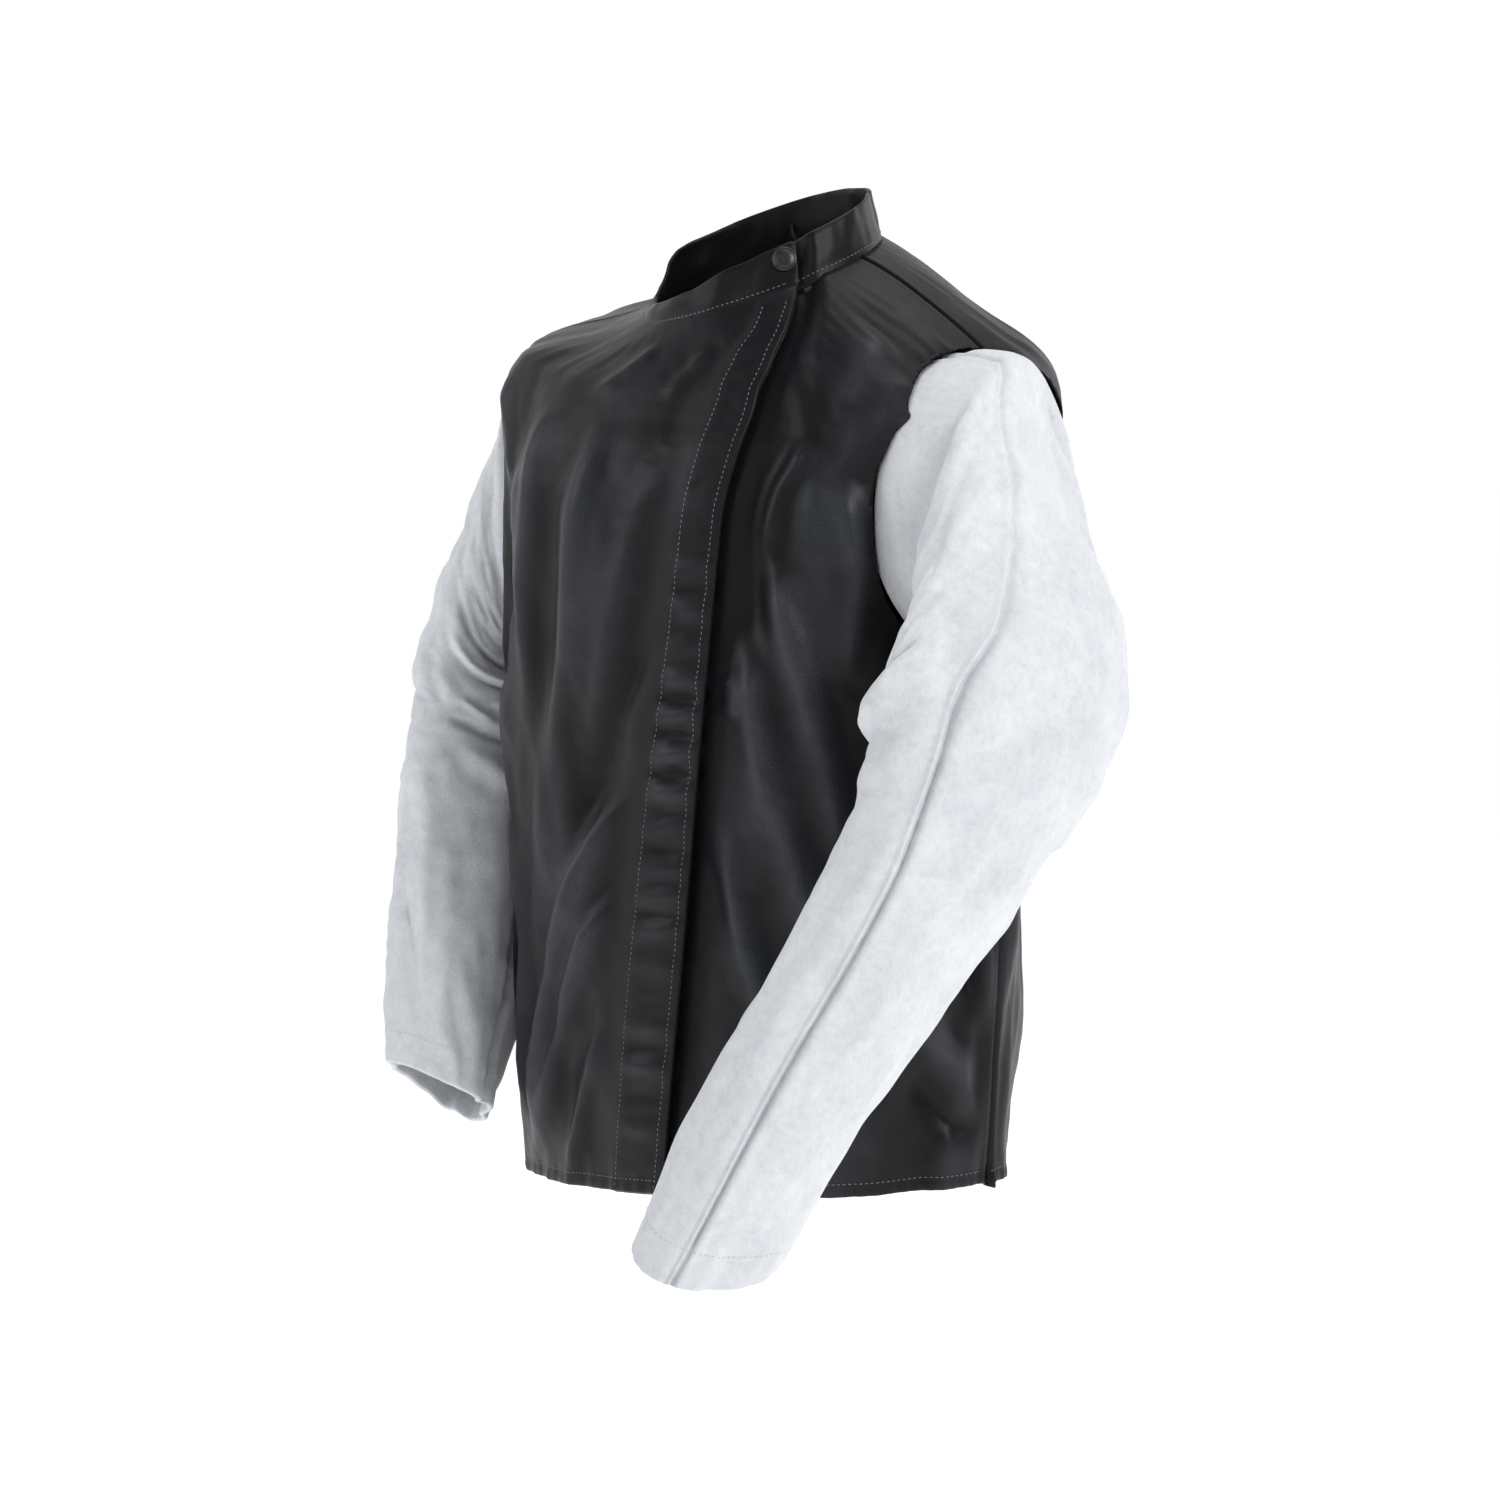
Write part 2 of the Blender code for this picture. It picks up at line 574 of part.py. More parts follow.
def add_hanger_loop(jacket):
    """A short cord loop inside the back of the neck, by which the jacket hangs."""
    curve = bpy.data.curves.new("hanger_loop", "CURVE")
    curve.dimensions = "3D"
    curve.bevel_depth = LOOP_RADIUS
    curve.bevel_resolution = 2
    curve.use_fill_caps = True
    spline = curve.splines.new("POLY")
    turns = np.linspace(math.pi, 2.0 * math.pi, 15)
    spline.points.add(len(turns) - 1)
    for point, turn in zip(spline.points, turns):
        x = LOOP_HALF_WIDTH * math.cos(turn)
        z = LOOP_DROP * (1.0 + math.sin(turn)) - LOOP_RADIUS
        point.co = (x, NAPE.y, NAPE.z + z, 1.0)
    obj = bpy.data.objects.new("hanger_loop", curve)
    obj.parent = jacket.datum
    curve.materials.append(new_material("hanger_loop", CLOTH_LINING, 0.8, 0.0))
    jacket.parts.objects.link(obj)


def add_sleeve(jacket, label, sections, side):
    """A sleeve of two panels, each in three lengths: above the elbow, at the elbow and the forearm."""
    look = (LEATHER_GREY, 0.9, 0.0)
    last = len(sections) - 1.0
    low, high = ELBOW_SECTION - ELBOW_HALF_LENGTH, ELBOW_SECTION + ELBOW_HALF_LENGTH
    front, under = math.radians(SLEEVE_SEAM_FRONT), math.radians(SLEEVE_SEAM_UNDER)
    gap = SLEEVE_SEAM
    panels = (("front", front + gap, under - gap, 9), ("back", under - 2 * math.pi + gap, front - gap, 12))
    lengths = (
        ("sleeve_upper", "torso", 0.0, low, 9),
        ("sleeve_elbow", "torso", low + ELBOW_GAP, high - ELBOW_GAP, 4),
        ("forearm", label + "_forearm", high, last, 6),
    )
    for part, body, first, end, rows in lengths:
        for panel, start, stop, columns in panels:
            section = np.linspace(first, end, rows + 1)[:, None] + np.zeros(columns + 1)
            turn = np.zeros((rows + 1, 1)) + np.linspace(start, stop, columns + 1)
            points = sleeve_point(sections, section, turn, side)
            if side < 0:
                points = points[:, ::-1]
            jacket.shell(f"{label}_{part}_{panel}", body, points, LEATHER, look)
    inset = LEATHER + LAYER_GAP
    for panel, start, stop, columns in panels:
        ends = (last - CUFF_FACING_SECTIONS, last - CUFF_FACING_MARGIN)
        section = np.array(ends)[:, None] + np.zeros(columns + 1)
        turn = np.zeros((2, 1)) + np.linspace(start, stop, columns + 1)
        points = sleeve_point(sections, section, turn, side, inset)
        if side < 0:
            points = points[:, ::-1]
        name = f"{label}_cuff_facing_{panel}"
        jacket.shell(name, label + "_forearm", points, LINING, (CLOTH_LINING, 0.8, 0.0))


def elbow_pivot(sections, side):
    """A point on the elbow's axis, a little to the front of the middle of the sleeve."""
    middle = 0.5 * (
        sleeve_point(sections, ELBOW_SECTION, 0.0, side) + sleeve_point(sections, ELBOW_SECTION, math.pi, side)
    )
    front = sleeve_point(sections, ELBOW_SECTION, math.pi / 2, side)
    return Vector(middle + ELBOW_PIVOT_FORWARD * (front - middle))


def build():
    jacket = Jacket()
    jacket.add_pivot("right_front", (RIGHT_HINGE_NECK + RIGHT_HINGE_HEM) / 2)
    jacket.add_pivot("left_front", (LEFT_HINGE_NECK + LEFT_HINGE_HEM) / 2)
    jacket.add_pivot("left_forearm", elbow_pivot(LEFT_SLEEVE, 1.0))
    jacket.add_pivot("right_forearm", elbow_pivot(RIGHT_SLEEVE, -1.0))
    armholes = {
        "left": armhole_cutter(jacket, "left_armhole", LEFT_SLEEVE, 1.0),
        "right": armhole_cutter(jacket, "right_armhole", RIGHT_SLEEVE, -1.0),
    }
    frames, collar = snap_frames()
    holes = snap_hole_cutter(jacket, "front_snap_holes", frames)
    collar_hole = snap_hole_cutter(jacket, "collar_snap_hole", [collar])
    add_body(jacket, armholes)
    add_fronts(jacket, holes)
    add_collar(jacket, collar_hole)
    add_hanger_loop(jacket)
    add_sleeve(jacket, "left", LEFT_SLEEVE, 1.0)
    add_sleeve(jacket, "right", RIGHT_SLEEVE, -1.0)
    add_snaps(jacket)


build()
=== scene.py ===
"""The looks of a welding jacket: black cotton body and stand collar, grey split-leather sleeves, snap front.

The surfaces repeat those of the jacket's solids, written with heights up from the hem and x = y = 0 on the
middle of the body. DATUM puts them in the frame's own coordinates.
"""

import math

import bmesh
import bpy
import numpy as np
from mathutils import Matrix, Vector


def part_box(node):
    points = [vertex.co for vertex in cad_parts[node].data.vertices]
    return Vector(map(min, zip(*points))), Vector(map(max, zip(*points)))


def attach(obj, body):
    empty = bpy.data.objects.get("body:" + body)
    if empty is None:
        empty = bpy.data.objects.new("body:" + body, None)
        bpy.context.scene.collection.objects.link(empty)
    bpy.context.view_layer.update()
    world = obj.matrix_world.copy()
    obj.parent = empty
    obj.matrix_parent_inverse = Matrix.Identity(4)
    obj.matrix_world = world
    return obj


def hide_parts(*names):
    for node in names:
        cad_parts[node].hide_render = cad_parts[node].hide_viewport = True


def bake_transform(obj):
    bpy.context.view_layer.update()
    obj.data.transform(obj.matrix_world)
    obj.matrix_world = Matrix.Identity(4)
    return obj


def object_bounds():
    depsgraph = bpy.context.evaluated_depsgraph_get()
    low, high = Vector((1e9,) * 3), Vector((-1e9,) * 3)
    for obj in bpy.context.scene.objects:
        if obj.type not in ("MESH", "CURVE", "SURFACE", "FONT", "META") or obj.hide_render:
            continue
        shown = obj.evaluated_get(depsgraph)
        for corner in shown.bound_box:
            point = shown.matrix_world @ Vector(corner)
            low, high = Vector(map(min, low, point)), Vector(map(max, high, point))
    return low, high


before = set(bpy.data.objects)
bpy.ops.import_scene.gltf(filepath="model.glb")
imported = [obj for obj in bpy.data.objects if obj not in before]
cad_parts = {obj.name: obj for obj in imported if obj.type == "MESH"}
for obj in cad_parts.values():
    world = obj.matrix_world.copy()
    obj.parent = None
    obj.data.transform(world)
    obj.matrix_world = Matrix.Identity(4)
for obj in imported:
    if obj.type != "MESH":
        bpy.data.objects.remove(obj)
cad_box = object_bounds()

# Surfaces of the body, the collar and the sleeves.
NECK_HEIGHT = 0.694
BODY_HEIGHTS = (0.0, 0.18, 0.36, 0.50, 0.58, 0.612, 0.634, 0.648, 0.672, NECK_HEIGHT)
BODY_HALF_WIDTHS = (0.220, 0.232, 0.242, 0.243, 0.245, 0.243, 0.232, 0.208, 0.150, 0.096)
BODY_HALF_DEPTHS = (0.130, 0.137, 0.142, 0.140, 0.130, 0.121, 0.113, 0.107, 0.095, 0.085)
BACK_SQUARENESS = 1.5
NECK_FORWARD_SLOPE = 0.38
SIDE_SLOPE_HEIGHTS = (0.0, 0.50, 0.634, NECK_HEIGHT)
SIDE_SLOPES = (0.078, 0.0, -0.06, 0.13)
HEM_DROOP = 0.009
COLLAR_HEIGHT = 0.035
COLLAR_DIP_ANGLES = (-190.0, -176.0, -160.0, -144.0, -118.0, -90.0, -68.0, -40.0, 0.0)
COLLAR_DIPS = (0.0, 0.001, 0.014, 0.025, 0.0205, 0.012, 0.004, 0.001, 0.0)
COLLAR_DIP_LEAN = -0.20
COLLAR_LEAN = 0.25
FREE_EDGE_HEIGHTS = (0.0, 0.20, 0.37, 0.56, 0.636, 0.66, 0.676, NECK_HEIGHT)
FREE_EDGE_ANGLES = (-88.0, -80.5, -76.0, -71.5, -69.0, -62.0, -52.0, -37.0)
INNER_EDGE_HEIGHTS = (0.0, 0.128, 0.27, 0.43, 0.54, 0.64, 0.664, 0.678, NECK_HEIGHT)
INNER_EDGE_ANGLES = (-101.5, -96.5, -90.5, -84.0, -81.0, -78.0, -72.5, -64.0, -54.0)
UNDERLAP_MARGIN = 4.0
UNDERLAP_DEPTH = 0.0090
COLLAR_UNDERLAP_DEPTH = 0.0066
COLLAR_SNAP_ANGLE = -43.0
COLLAR_SNAP_RISE = 0.022
LEFT_SLEEVE = (
    (0.180, 0.634, 0.180, 0.388, -0.006, 0.084),
    (0.244, 0.632, 0.250, 0.388, -0.006, 0.084),
    (0.262, 0.600, 0.250, 0.374, -0.018, 0.096),
    (0.279, 0.560, 0.248, 0.360, -0.031, 0.108),
    (0.300, 0.516, 0.244, 0.350, -0.046, 0.116),
    (0.322, 0.470, 0.238, 0.340, -0.061, 0.119),
    (0.338, 0.422, 0.232, 0.328, -0.076, 0.115),
    (0.341, 0.370, 0.226, 0.308, -0.093, 0.101),
    (0.335, 0.315, 0.217, 0.283, -0.110, 0.086),
    (0.318, 0.252, 0.205, 0.238, -0.138, 0.076),
    (0.291, 0.181, 0.184, 0.170, -0.179, 0.070),
    (0.258, 0.103, 0.159, 0.093, -0.226, 0.063),
    (0.219, -0.006, 0.133, -0.020, -0.287, 0.053),
)
RIGHT_SLEEVE = (
    (0.180, 0.641, 0.180, 0.410, 0.010, 0.070),
    (0.228, 0.640, 0.238, 0.408, 0.010, 0.070),
    (0.246, 0.604, 0.246, 0.396, 0.012, 0.070),
    (0.270, 0.555, 0.250, 0.384, 0.010, 0.070),
    (0.297, 0.500, 0.251, 0.372, 0.008, 0.074),
    (0.325, 0.443, 0.250, 0.358, 0.008, 0.079),
    (0.345, 0.385, 0.249, 0.339, 0.008, 0.080),
    (0.353, 0.330, 0.247, 0.314, 0.002, 0.080),
    (0.352, 0.275, 0.243, 0.266, -0.012, 0.079),
    (0.341, 0.205, 0.235, 0.198, -0.036, 0.074),
    (0.321, 0.130, 0.218, 0.126, -0.070, 0.064),
    (0.293, 0.048, 0.200, 0.040, -0.115, 0.050),
)
LEAN_SECTIONS = (3.5, 8.0)
SEAM_SECTIONS = (0.0, 3.0, 5.0, 6.2, 7.2, 8.5, 10.0, 12.0)
LEFT_SEAM_TURNS = (14.0, 13.0, 20.0, 32.0, 47.0, 56.0, 50.0, 45.0)
RIGHT_SEAM_TURNS = (20.0, 24.0, 28.0, 32.0, 36.0, 40.0, 40.0, 40.0)
SEAM_UNDER = 190.0
HEAD_FLAT_TURN = -48.0
SLEEVE_FRONT_SHIFT = (-0.028, -0.012, 0.0)
CUFF_TILT = 0.048
CUFF_FACING_TURN = 42.0

BACK_HALF_DEPTH = max(BODY_HALF_DEPTHS)
back_low, back_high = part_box("back_panel")
DATUM = np.array((0.0, back_high.y - BACK_HALF_DEPTH, back_low.z))

# Thicknesses.
CLOTH = 0.0016
LEATHER = 0.0022
HEM_TURN = 0.0019
PLACKET_RISE = 0.0022


def smooth_curve(xs, ys, x):
    """A curve through the points that never overshoots them: cubic Hermite with harmonic-mean slopes."""
    xs = np.asarray(xs, float)
    ys = np.asarray(ys, float)
    steps = np.diff(ys) / np.diff(xs)
    before, after = steps[:-1], steps[1:]
    same_way = before * after > 0
    total = np.where(same_way, before + after, 1.0)
    inner = np.where(same_way, 2.0 * before * after / total, 0.0)
    slopes = np.concatenate((steps[:1], inner, steps[-1:]))
    x = np.clip(np.asarray(x, float), xs[0], xs[-1])
    k = np.clip(np.searchsorted(xs, x, side="right") - 1, 0, len(xs) - 2)
    width = xs[k + 1] - xs[k]
    t = (x - xs[k]) / width
    start = (1 + 2 * t) * (1 - t) ** 2 * ys[k] + t * (1 - t) ** 2 * width * slopes[k]
    end = t * t * (3 - 2 * t) * ys[k + 1] + t * t * (t - 1) * width * slopes[k + 1]
    return start + end


def smoothstep(low, high, x):
    t = np.clip((x - low) / (high - low), 0.0, 1.0)
    return t * t * (3.0 - 2.0 * t)


def body_section(height):
    """Half width, half depth, and how much squarer than an ellipse the back is, at a height."""
    blade = smoothstep(0.38, 0.54, height) * (1.0 - smoothstep(0.60, 0.66, height))
    half_width = smooth_curve(BODY_HEIGHTS, BODY_HALF_WIDTHS, height)
    return half_width, smooth_curve(BODY_HEIGHTS, BODY_HALF_DEPTHS, height), BACK_SQUARENESS * blade


def ring_slopes(height):
    """How a ring of the body slopes towards the back and towards the wearer's left."""
    forward = NECK_FORWARD_SLOPE * smoothstep(0.50, NECK_HEIGHT, height)
    return forward, smooth_curve(SIDE_SLOPE_HEIGHTS, SIDE_SLOPES, height)


def body_point(angle, height):
    """The outer face of the body. Angle 0 is the wearer's left side, -90 degrees the middle of the front."""
    angle = np.asarray(angle, float)
    height = np.asarray(height, float)
    half_width, half_depth, squarer = body_section(height)
    cosine, sine = np.cos(angle), np.sin(angle)
    power = 2.0 / (2.0 + squarer * (sine > 0.0))
    x = half_width * np.sign(cosine) * np.abs(cosine) ** power
    y = half_depth * np.sign(sine) * np.abs(sine) ** power
    forward, sideways = ring_slopes(height)
    droop = HEM_DROOP * (1.0 - smoothstep(0.0, 0.14, height))
    return np.stack(np.broadcast_arrays(x, y, height - droop + forward * y + sideways * x), -1)


def collar_point(angle, rise):
    """The outer face of the collar, which leans inwards as it rises from the neck seam."""
    angle = np.asarray(angle, float)
    rise = np.asarray(rise, float)
    lean = -COLLAR_LEAN * rise
    up = np.stack(np.broadcast_arrays(lean * np.cos(angle), lean * np.sin(angle), rise), -1)
    return body_point(angle, NECK_HEIGHT) + up


def outward(surface, angle, height):
    """Unit normals of a surface, pointing away from the wearer."""
    step = 1e-4
    along = surface(angle + step, height) - surface(angle - step, height)
    up = surface(angle, height + step) - surface(angle, height - step)
    normal = np.cross(along, up)
    return normal / np.linalg.norm(normal, axis=-1, keepdims=True)


def raised(surface, angle, height, rise):
    """A point of a surface moved out along its normal, or in where rise is negative."""
    rise = np.asarray(rise, float)[..., None]
    return surface(angle, height) + outward(surface, angle, height) * rise


def free_edge(height):
    return np.radians(smooth_curve(FREE_EDGE_HEIGHTS, FREE_EDGE_ANGLES, height))


def inner_edge(height):
    return np.radians(smooth_curve(INNER_EDGE_HEIGHTS, INNER_EDGE_ANGLES, height))


def underlap_edge(height):
    return inner_edge(height) - math.radians(UNDERLAP_MARGIN)


def underlap_rise(angle, height):
    """How far the left front sinks as it passes under the placket."""
    lead = np.degrees(angle - free_edge(height))
    return -UNDERLAP_DEPTH * (1.0 - smoothstep(2.0, 14.0, lead))


def collar_underlap_rise(angle):
    lead = np.degrees(angle - free_edge(NECK_HEIGHT))
    return -COLLAR_UNDERLAP_DEPTH * (1.0 - smoothstep(1.0, 10.0, lead))


def sleeve_point(sections, section, turn, side):
    """A point of a sleeve. Turn 0 is its outer line, 90 degrees its front, 180 degrees its underarm."""
    table = np.array(sections)
    numbers = np.arange(len(table))

    def columns(at):
        return [smooth_curve(numbers, table[:, k], at) for k in range(6)]

    def middle(at):
        outer_x, outer_z, inner_x, inner_z, y, _ = columns(at)
        return np.stack(((outer_x + inner_x) / 2, y, (outer_z + inner_z) / 2), -1)

    section = np.asarray(section, float)
    outer_x, outer_z, inner_x, inner_z, _, half_depth = columns(section)
    reach = np.stack(((outer_x - inner_x) / 2, 0.0 * outer_x, (outer_z - inner_z) / 2), -1)
    along = middle(np.minimum(section + 0.3, numbers[-1])) - middle(np.maximum(section - 0.3, 0.0))
    square = np.cross(along, reach)
    square = square / np.linalg.norm(square, axis=-1, keepdims=True)
    leaning = smoothstep(*LEAN_SECTIONS, section)[..., None]
    front = leaning * square + (1.0 - leaning) * np.array((0.0, -1.0, 0.0))
    front = front / np.linalg.norm(front, axis=-1, keepdims=True)
    turn = np.asarray(turn, float)[..., None]
    point = middle(section) + np.cos(turn) * reach + np.sin(turn) * half_depth[..., None] * front
    return point * np.array((side, 1.0, 1.0))


# ---------------------------------------------------------------- folds and wrinkles

DEGREE = math.radians(1.0)


def ripples(a, b, size_a, size_b, seed, count=14):
    """A smooth random field of about unit size: cosine waves with lengths near size_a and size_b."""
    random = np.random.default_rng(seed)
    total = np.zeros(np.broadcast(a, b).shape)
    for _ in range(count):
        heading = random.uniform(0.0, math.pi)
        length = random.uniform(0.7, 1.5)
        phase = random.uniform(0.0, 2.0 * math.pi)
        wave = math.cos(heading) * a / size_a + math.sin(heading) * b / size_b
        total = total + np.cos(2.0 * math.pi * wave / length + phase)
    return total / math.sqrt(count / 2.0)


def nearest(a, b, path):
    """Signed distance to a path of (a, b) points, and how far along it each foot lies, from 0 to 1."""
    path = np.asarray(path, float)
    lengths = np.linalg.norm(np.diff(path, axis=0), axis=1)
    before = np.concatenate(((0.0,), np.cumsum(lengths)))
    best = np.full(a.shape, 1e9)
    signed = np.zeros(a.shape)
    share = np.zeros(a.shape)
    for k in range(len(lengths)):
        start, step = path[k], (path[k + 1] - path[k]) / lengths[k]
        along = np.clip((a - start[0]) * step[0] + (b - start[1]) * step[1], 0.0, lengths[k])
        off_a, off_b = a - start[0] - along * step[0], b - start[1] - along * step[1]
        distance = np.hypot(off_a, off_b)
        closer = distance < best
        best = np.where(closer, distance, best)
        aside = step[0] * off_b - step[1] * off_a
        signed = np.where(closer, np.copysign(distance, aside), signed)
        share = np.where(closer, (before[k] + along) / before[-1], share)
    return signed, share


def crease(a, b, path, height, width, skew=0.0):
    """A ridge, or a groove where height is negative, along a path. Skew makes one side of it steeper."""
    signed, share = nearest(a, b, path)
    reach = signed / width
    fade = smoothstep(0.0, 0.22, share) * (1.0 - smoothstep(0.72, 1.0, share))
    return height * fade * np.exp(-reach * reach) * (1.0 + skew * np.tanh(1.6 * reach))


BODY_FOLDS = (
    # The wearer's right front: long folds that run down from the placket and the chest to the side.
    (((-91, 0.325), (-103, 0.27), (-117, 0.19), (-130, 0.09), (-137, 0.0)), 0.0075, 0.013, 0.8),
    (((-98, 0.235), (-110, 0.17), (-121, 0.10), (-133, 0.02)), 0.0060, 0.011, 0.8),
    (((-104, 0.12), (-112, 0.06), (-118, 0.0)), 0.0040, 0.009, 0.6),
    (((-104, 0.62), (-108, 0.53), (-113, 0.42), (-118, 0.30)), 0.0034, 0.014, 0.7),
    (((-122, 0.63), (-126, 0.55), (-129, 0.45), (-128, 0.36)), 0.0034, 0.012, 0.7),
    (((-90, 0.58), (-95, 0.49), (-100, 0.40), (-106, 0.30)), 0.0032, 0.013, 0.6),
    (((-87, 0.43), (-98, 0.36), (-108, 0.26)), -0.0035, 0.011, 0.4),
    (((-156, 0.47), (-141, 0.45), (-130, 0.41)), -0.0035, 0.013, 0.4),
    (((-136, 0.53), (-138, 0.44), (-136, 0.30)), -0.0025, 0.013, 0.4),
    (((-150, 0.38), (-140, 0.34), (-132, 0.33)), 0.0025, 0.014, 0.3),
    (((-146, 0.28), (-142, 0.15), (-146, 0.02)), 0.0060, 0.020, 0.3),
    # The wearer's left front: folds that fall from the chest and the armhole towards the hem.
    (((-64, 0.50), (-56, 0.42), (-49, 0.33), (-44, 0.22)), 0.0070, 0.013, -0.7),
    (((-50, 0.55), (-45, 0.47), (-47, 0.38)), 0.0060, 0.011, 0.6),
    (((-69, 0.44), (-62, 0.33), (-53, 0.23), (-44, 0.12)), 0.0055, 0.013, -0.6),
    (((-40, 0.52), (-34, 0.43), (-32, 0.30), (-35, 0.20)), -0.0065, 0.012, 0.4),
    (((-57, 0.60), (-63, 0.54), (-66, 0.47)), 0.0040, 0.010, 0.5),
    (((-76, 0.30), (-68, 0.22), (-60, 0.12), (-55, 0.03)), 0.0055, 0.012, -0.5),
    (((-26, 0.30), (-16, 0.20), (-9, 0.12)), -0.0050, 0.012, 0.5),
    (((-38, 0.17), (-24, 0.11), (-10, 0.07)), 0.0060, 0.013, 0.6),
    (((-30, 0.09), (-18, 0.05), (-6, 0.035)), -0.0045, 0.010, 0.4),
    (((-12, 0.30), (-8, 0.20), (-5, 0.10)), 0.0045, 0.012, 0.3),
    # Short pulls at the shoulder, the neck and the armholes.
    (((-18, 0.634), (-30, 0.622), (-40, 0.60)), 0.0040, 0.007, 0.5),
    (((-12, 0.650), (-24, 0.640), (-33, 0.625)), -0.0030, 0.006, 0.5),
    (((-28, 0.665), (-40, 0.652), (-52, 0.63)), 0.0030, 0.007, 0.4),
    (((-150, 0.62), (-144, 0.58), (-140, 0.52)), 0.0028, 0.009, 0.5),
    (((-80, 0.672), (-86, 0.655), (-92, 0.630)), 0.0020, 0.006, 0.4),
    (((-100, 0.675), (-104, 0.650), (-108, 0.620)), 0.0022, 0.008, -0.4),
    (((-73, 0.392), (-71, 0.374), (-72, 0.355)), 0.0045, 0.006, 0.2),
    # The back: soft folds below the shoulder blades.
    (((52, 0.52), (48, 0.38), (50, 0.22), (46, 0.05)), 0.0075, 0.018, 0.5),
    (((75, 0.44), (70, 0.28), (74, 0.10)), -0.0055, 0.016, 0.5),
    (((98, 0.50), (102, 0.34), (97, 0.16), (101, 0.02)), 0.0070, 0.018, -0.5),
    (((126, 0.50), (131, 0.36), (127, 0.20), (132, 0.04)), 0.0070, 0.017, -0.4),
    (((150, 0.42), (153, 0.28), (149, 0.12)), -0.0055, 0.014, 0.5),
    (((26, 0.44), (24, 0.28), (28, 0.12)), -0.0055, 0.014, 0.5),
    (((20, 0.52), (38, 0.47), (58, 0.455)), 0.0050, 0.012, 0.5),
    (((160, 0.52), (142, 0.47), (120, 0.46)), 0.0050, 0.012, 0.5),
    (((60, 0.655), (80, 0.64), (100, 0.64), (118, 0.655)), -0.0035, 0.010, 0.4),
)
BODY_RADIUS = 0.185
FOLD_HEIGHT, FOLD_WIDTH = 1.45, 1.12


def body_folds(angle, height):
    """How far the cloth stands out from the plain body surface."""
    a = np.asarray(angle, float) * BODY_RADIUS
    b = np.asarray(height, float) + 0.0 * a
    a = a + 0.0 * b
    total = 0.0030 * ripples(a, b, 0.075, 0.34, 5) + 0.0008 * ripples(a, b, 0.040, 0.10, 6)
    total = total * smoothstep(NECK_HEIGHT, 0.60, b)
    total = total + 0.00015 * ripples(a, b, 0.014, 0.022, 7)
    for path, rise, width, skew in BODY_FOLDS:
        line = [(degrees * DEGREE * BODY_RADIUS, level) for degrees, level in path]
        total = total + crease(a, b, line, FOLD_HEIGHT * rise, FOLD_WIDTH * width, skew)
    return total


def seam_dip(distance, depth=0.0016, width=0.0035):
    """Cloth dips into a sewn seam, and swells a little beside it."""
    reach = distance / width
    return -depth * np.exp(-reach * reach) + 0.45 * depth * np.exp(-((reach - 2.6) ** 2))


# ---------------------------------------------------------------- sheets


class Sheet:
    """A grid of points of the outer face of a sewn piece, in the frame's coordinates."""

    def __init__(self, points, across, up, wrapped=False):
        self.points = points
        self.across = across
        self.up = up
        self.wrapped = wrapped

    def normals(self):
        along = np.gradient(self.points, axis=1)
        if self.wrapped:
            along = (np.roll(self.points, -1, 1) - np.roll(self.points, 1, 1)) / 2.0
        up = np.gradient(self.points, axis=0)
        normal = np.cross(along, up)
        return normal / np.maximum(np.linalg.norm(normal, axis=-1, keepdims=True), 1e-12)

    def sample(self, grid, row, column):
        """Values of a grid at fractional rows and columns."""
        rows, columns = grid.shape[:2]
        row = np.clip(row, 0.0, rows - 1.000001)
        r = row.astype(int)
        if self.wrapped:
            c = np.floor(column).astype(int) % columns
            d = (c + 1) % columns
            s = (column - np.floor(column))[:, None]
        else:
            column = np.clip(column, 0.0, columns - 1.000001)
            c = column.astype(int)
            d = c + 1
            s = (column - c)[:, None]
        t = (row - r)[:, None]
        low = grid[r, c] * (1 - s) + grid[r, d] * s
        high = grid[r + 1, c] * (1 - s) + grid[r + 1, d] * s
        return low * (1 - t) + high * t


def mesh_of(name, sheet, material, thickness):
    """The mesh of a sheet, made solid inwards, with a coordinate map in metres."""
    rows, columns = sheet.points.shape[:2]
    mesh = bpy.data.meshes.new(name)
    last = columns if sheet.wrapped else columns - 1
    r, c = np.meshgrid(np.arange(rows - 1), np.arange(last), indexing="ij")
    d = (c + 1) % columns
    low, high = r * columns, (r + 1) * columns
    quads = np.stack((low + c, low + d, high + d, high + c), -1)
    mesh.from_pydata(sheet.points.reshape(-1, 3).tolist(), [], quads.reshape(-1, 4).tolist())
    here, beyond = sheet.across[r, c], sheet.across[r, np.minimum(c + 1, columns - 1)]
    if sheet.wrapped:
        beyond = here + sheet.across[:-1, 1:2] - sheet.across[:-1, :1]
    across = np.stack((here, beyond, beyond, here), -1)
    up = np.stack((sheet.up[r, c], sheet.up[r, d], sheet.up[r + 1, d], sheet.up[r + 1, c]), -1)
    layer = mesh.uv_layers.new(name="metres")
    layer.data.foreach_set("uv", np.stack((across, up), -1).astype(np.float32).ravel())
    mesh.materials.append(material)
    obj = bpy.data.objects.new(name, mesh)
    bpy.context.scene.collection.objects.link(obj)
    solidify = obj.modifiers.new("thickness", "SOLIDIFY")
    solidify.thickness = thickness
    solidify.offset = -1.0
    return obj


def bake(obj):
    """Applies the modifiers of a piece, so that its mesh is final."""
    bpy.context.view_layer.update()
    graph = bpy.context.evaluated_depsgraph_get()
    mesh = bpy.data.meshes.new_from_object(obj.evaluated_get(graph))
    obj.modifiers.clear()
    obj.data = mesh
    mesh.shade_smooth()
    return obj


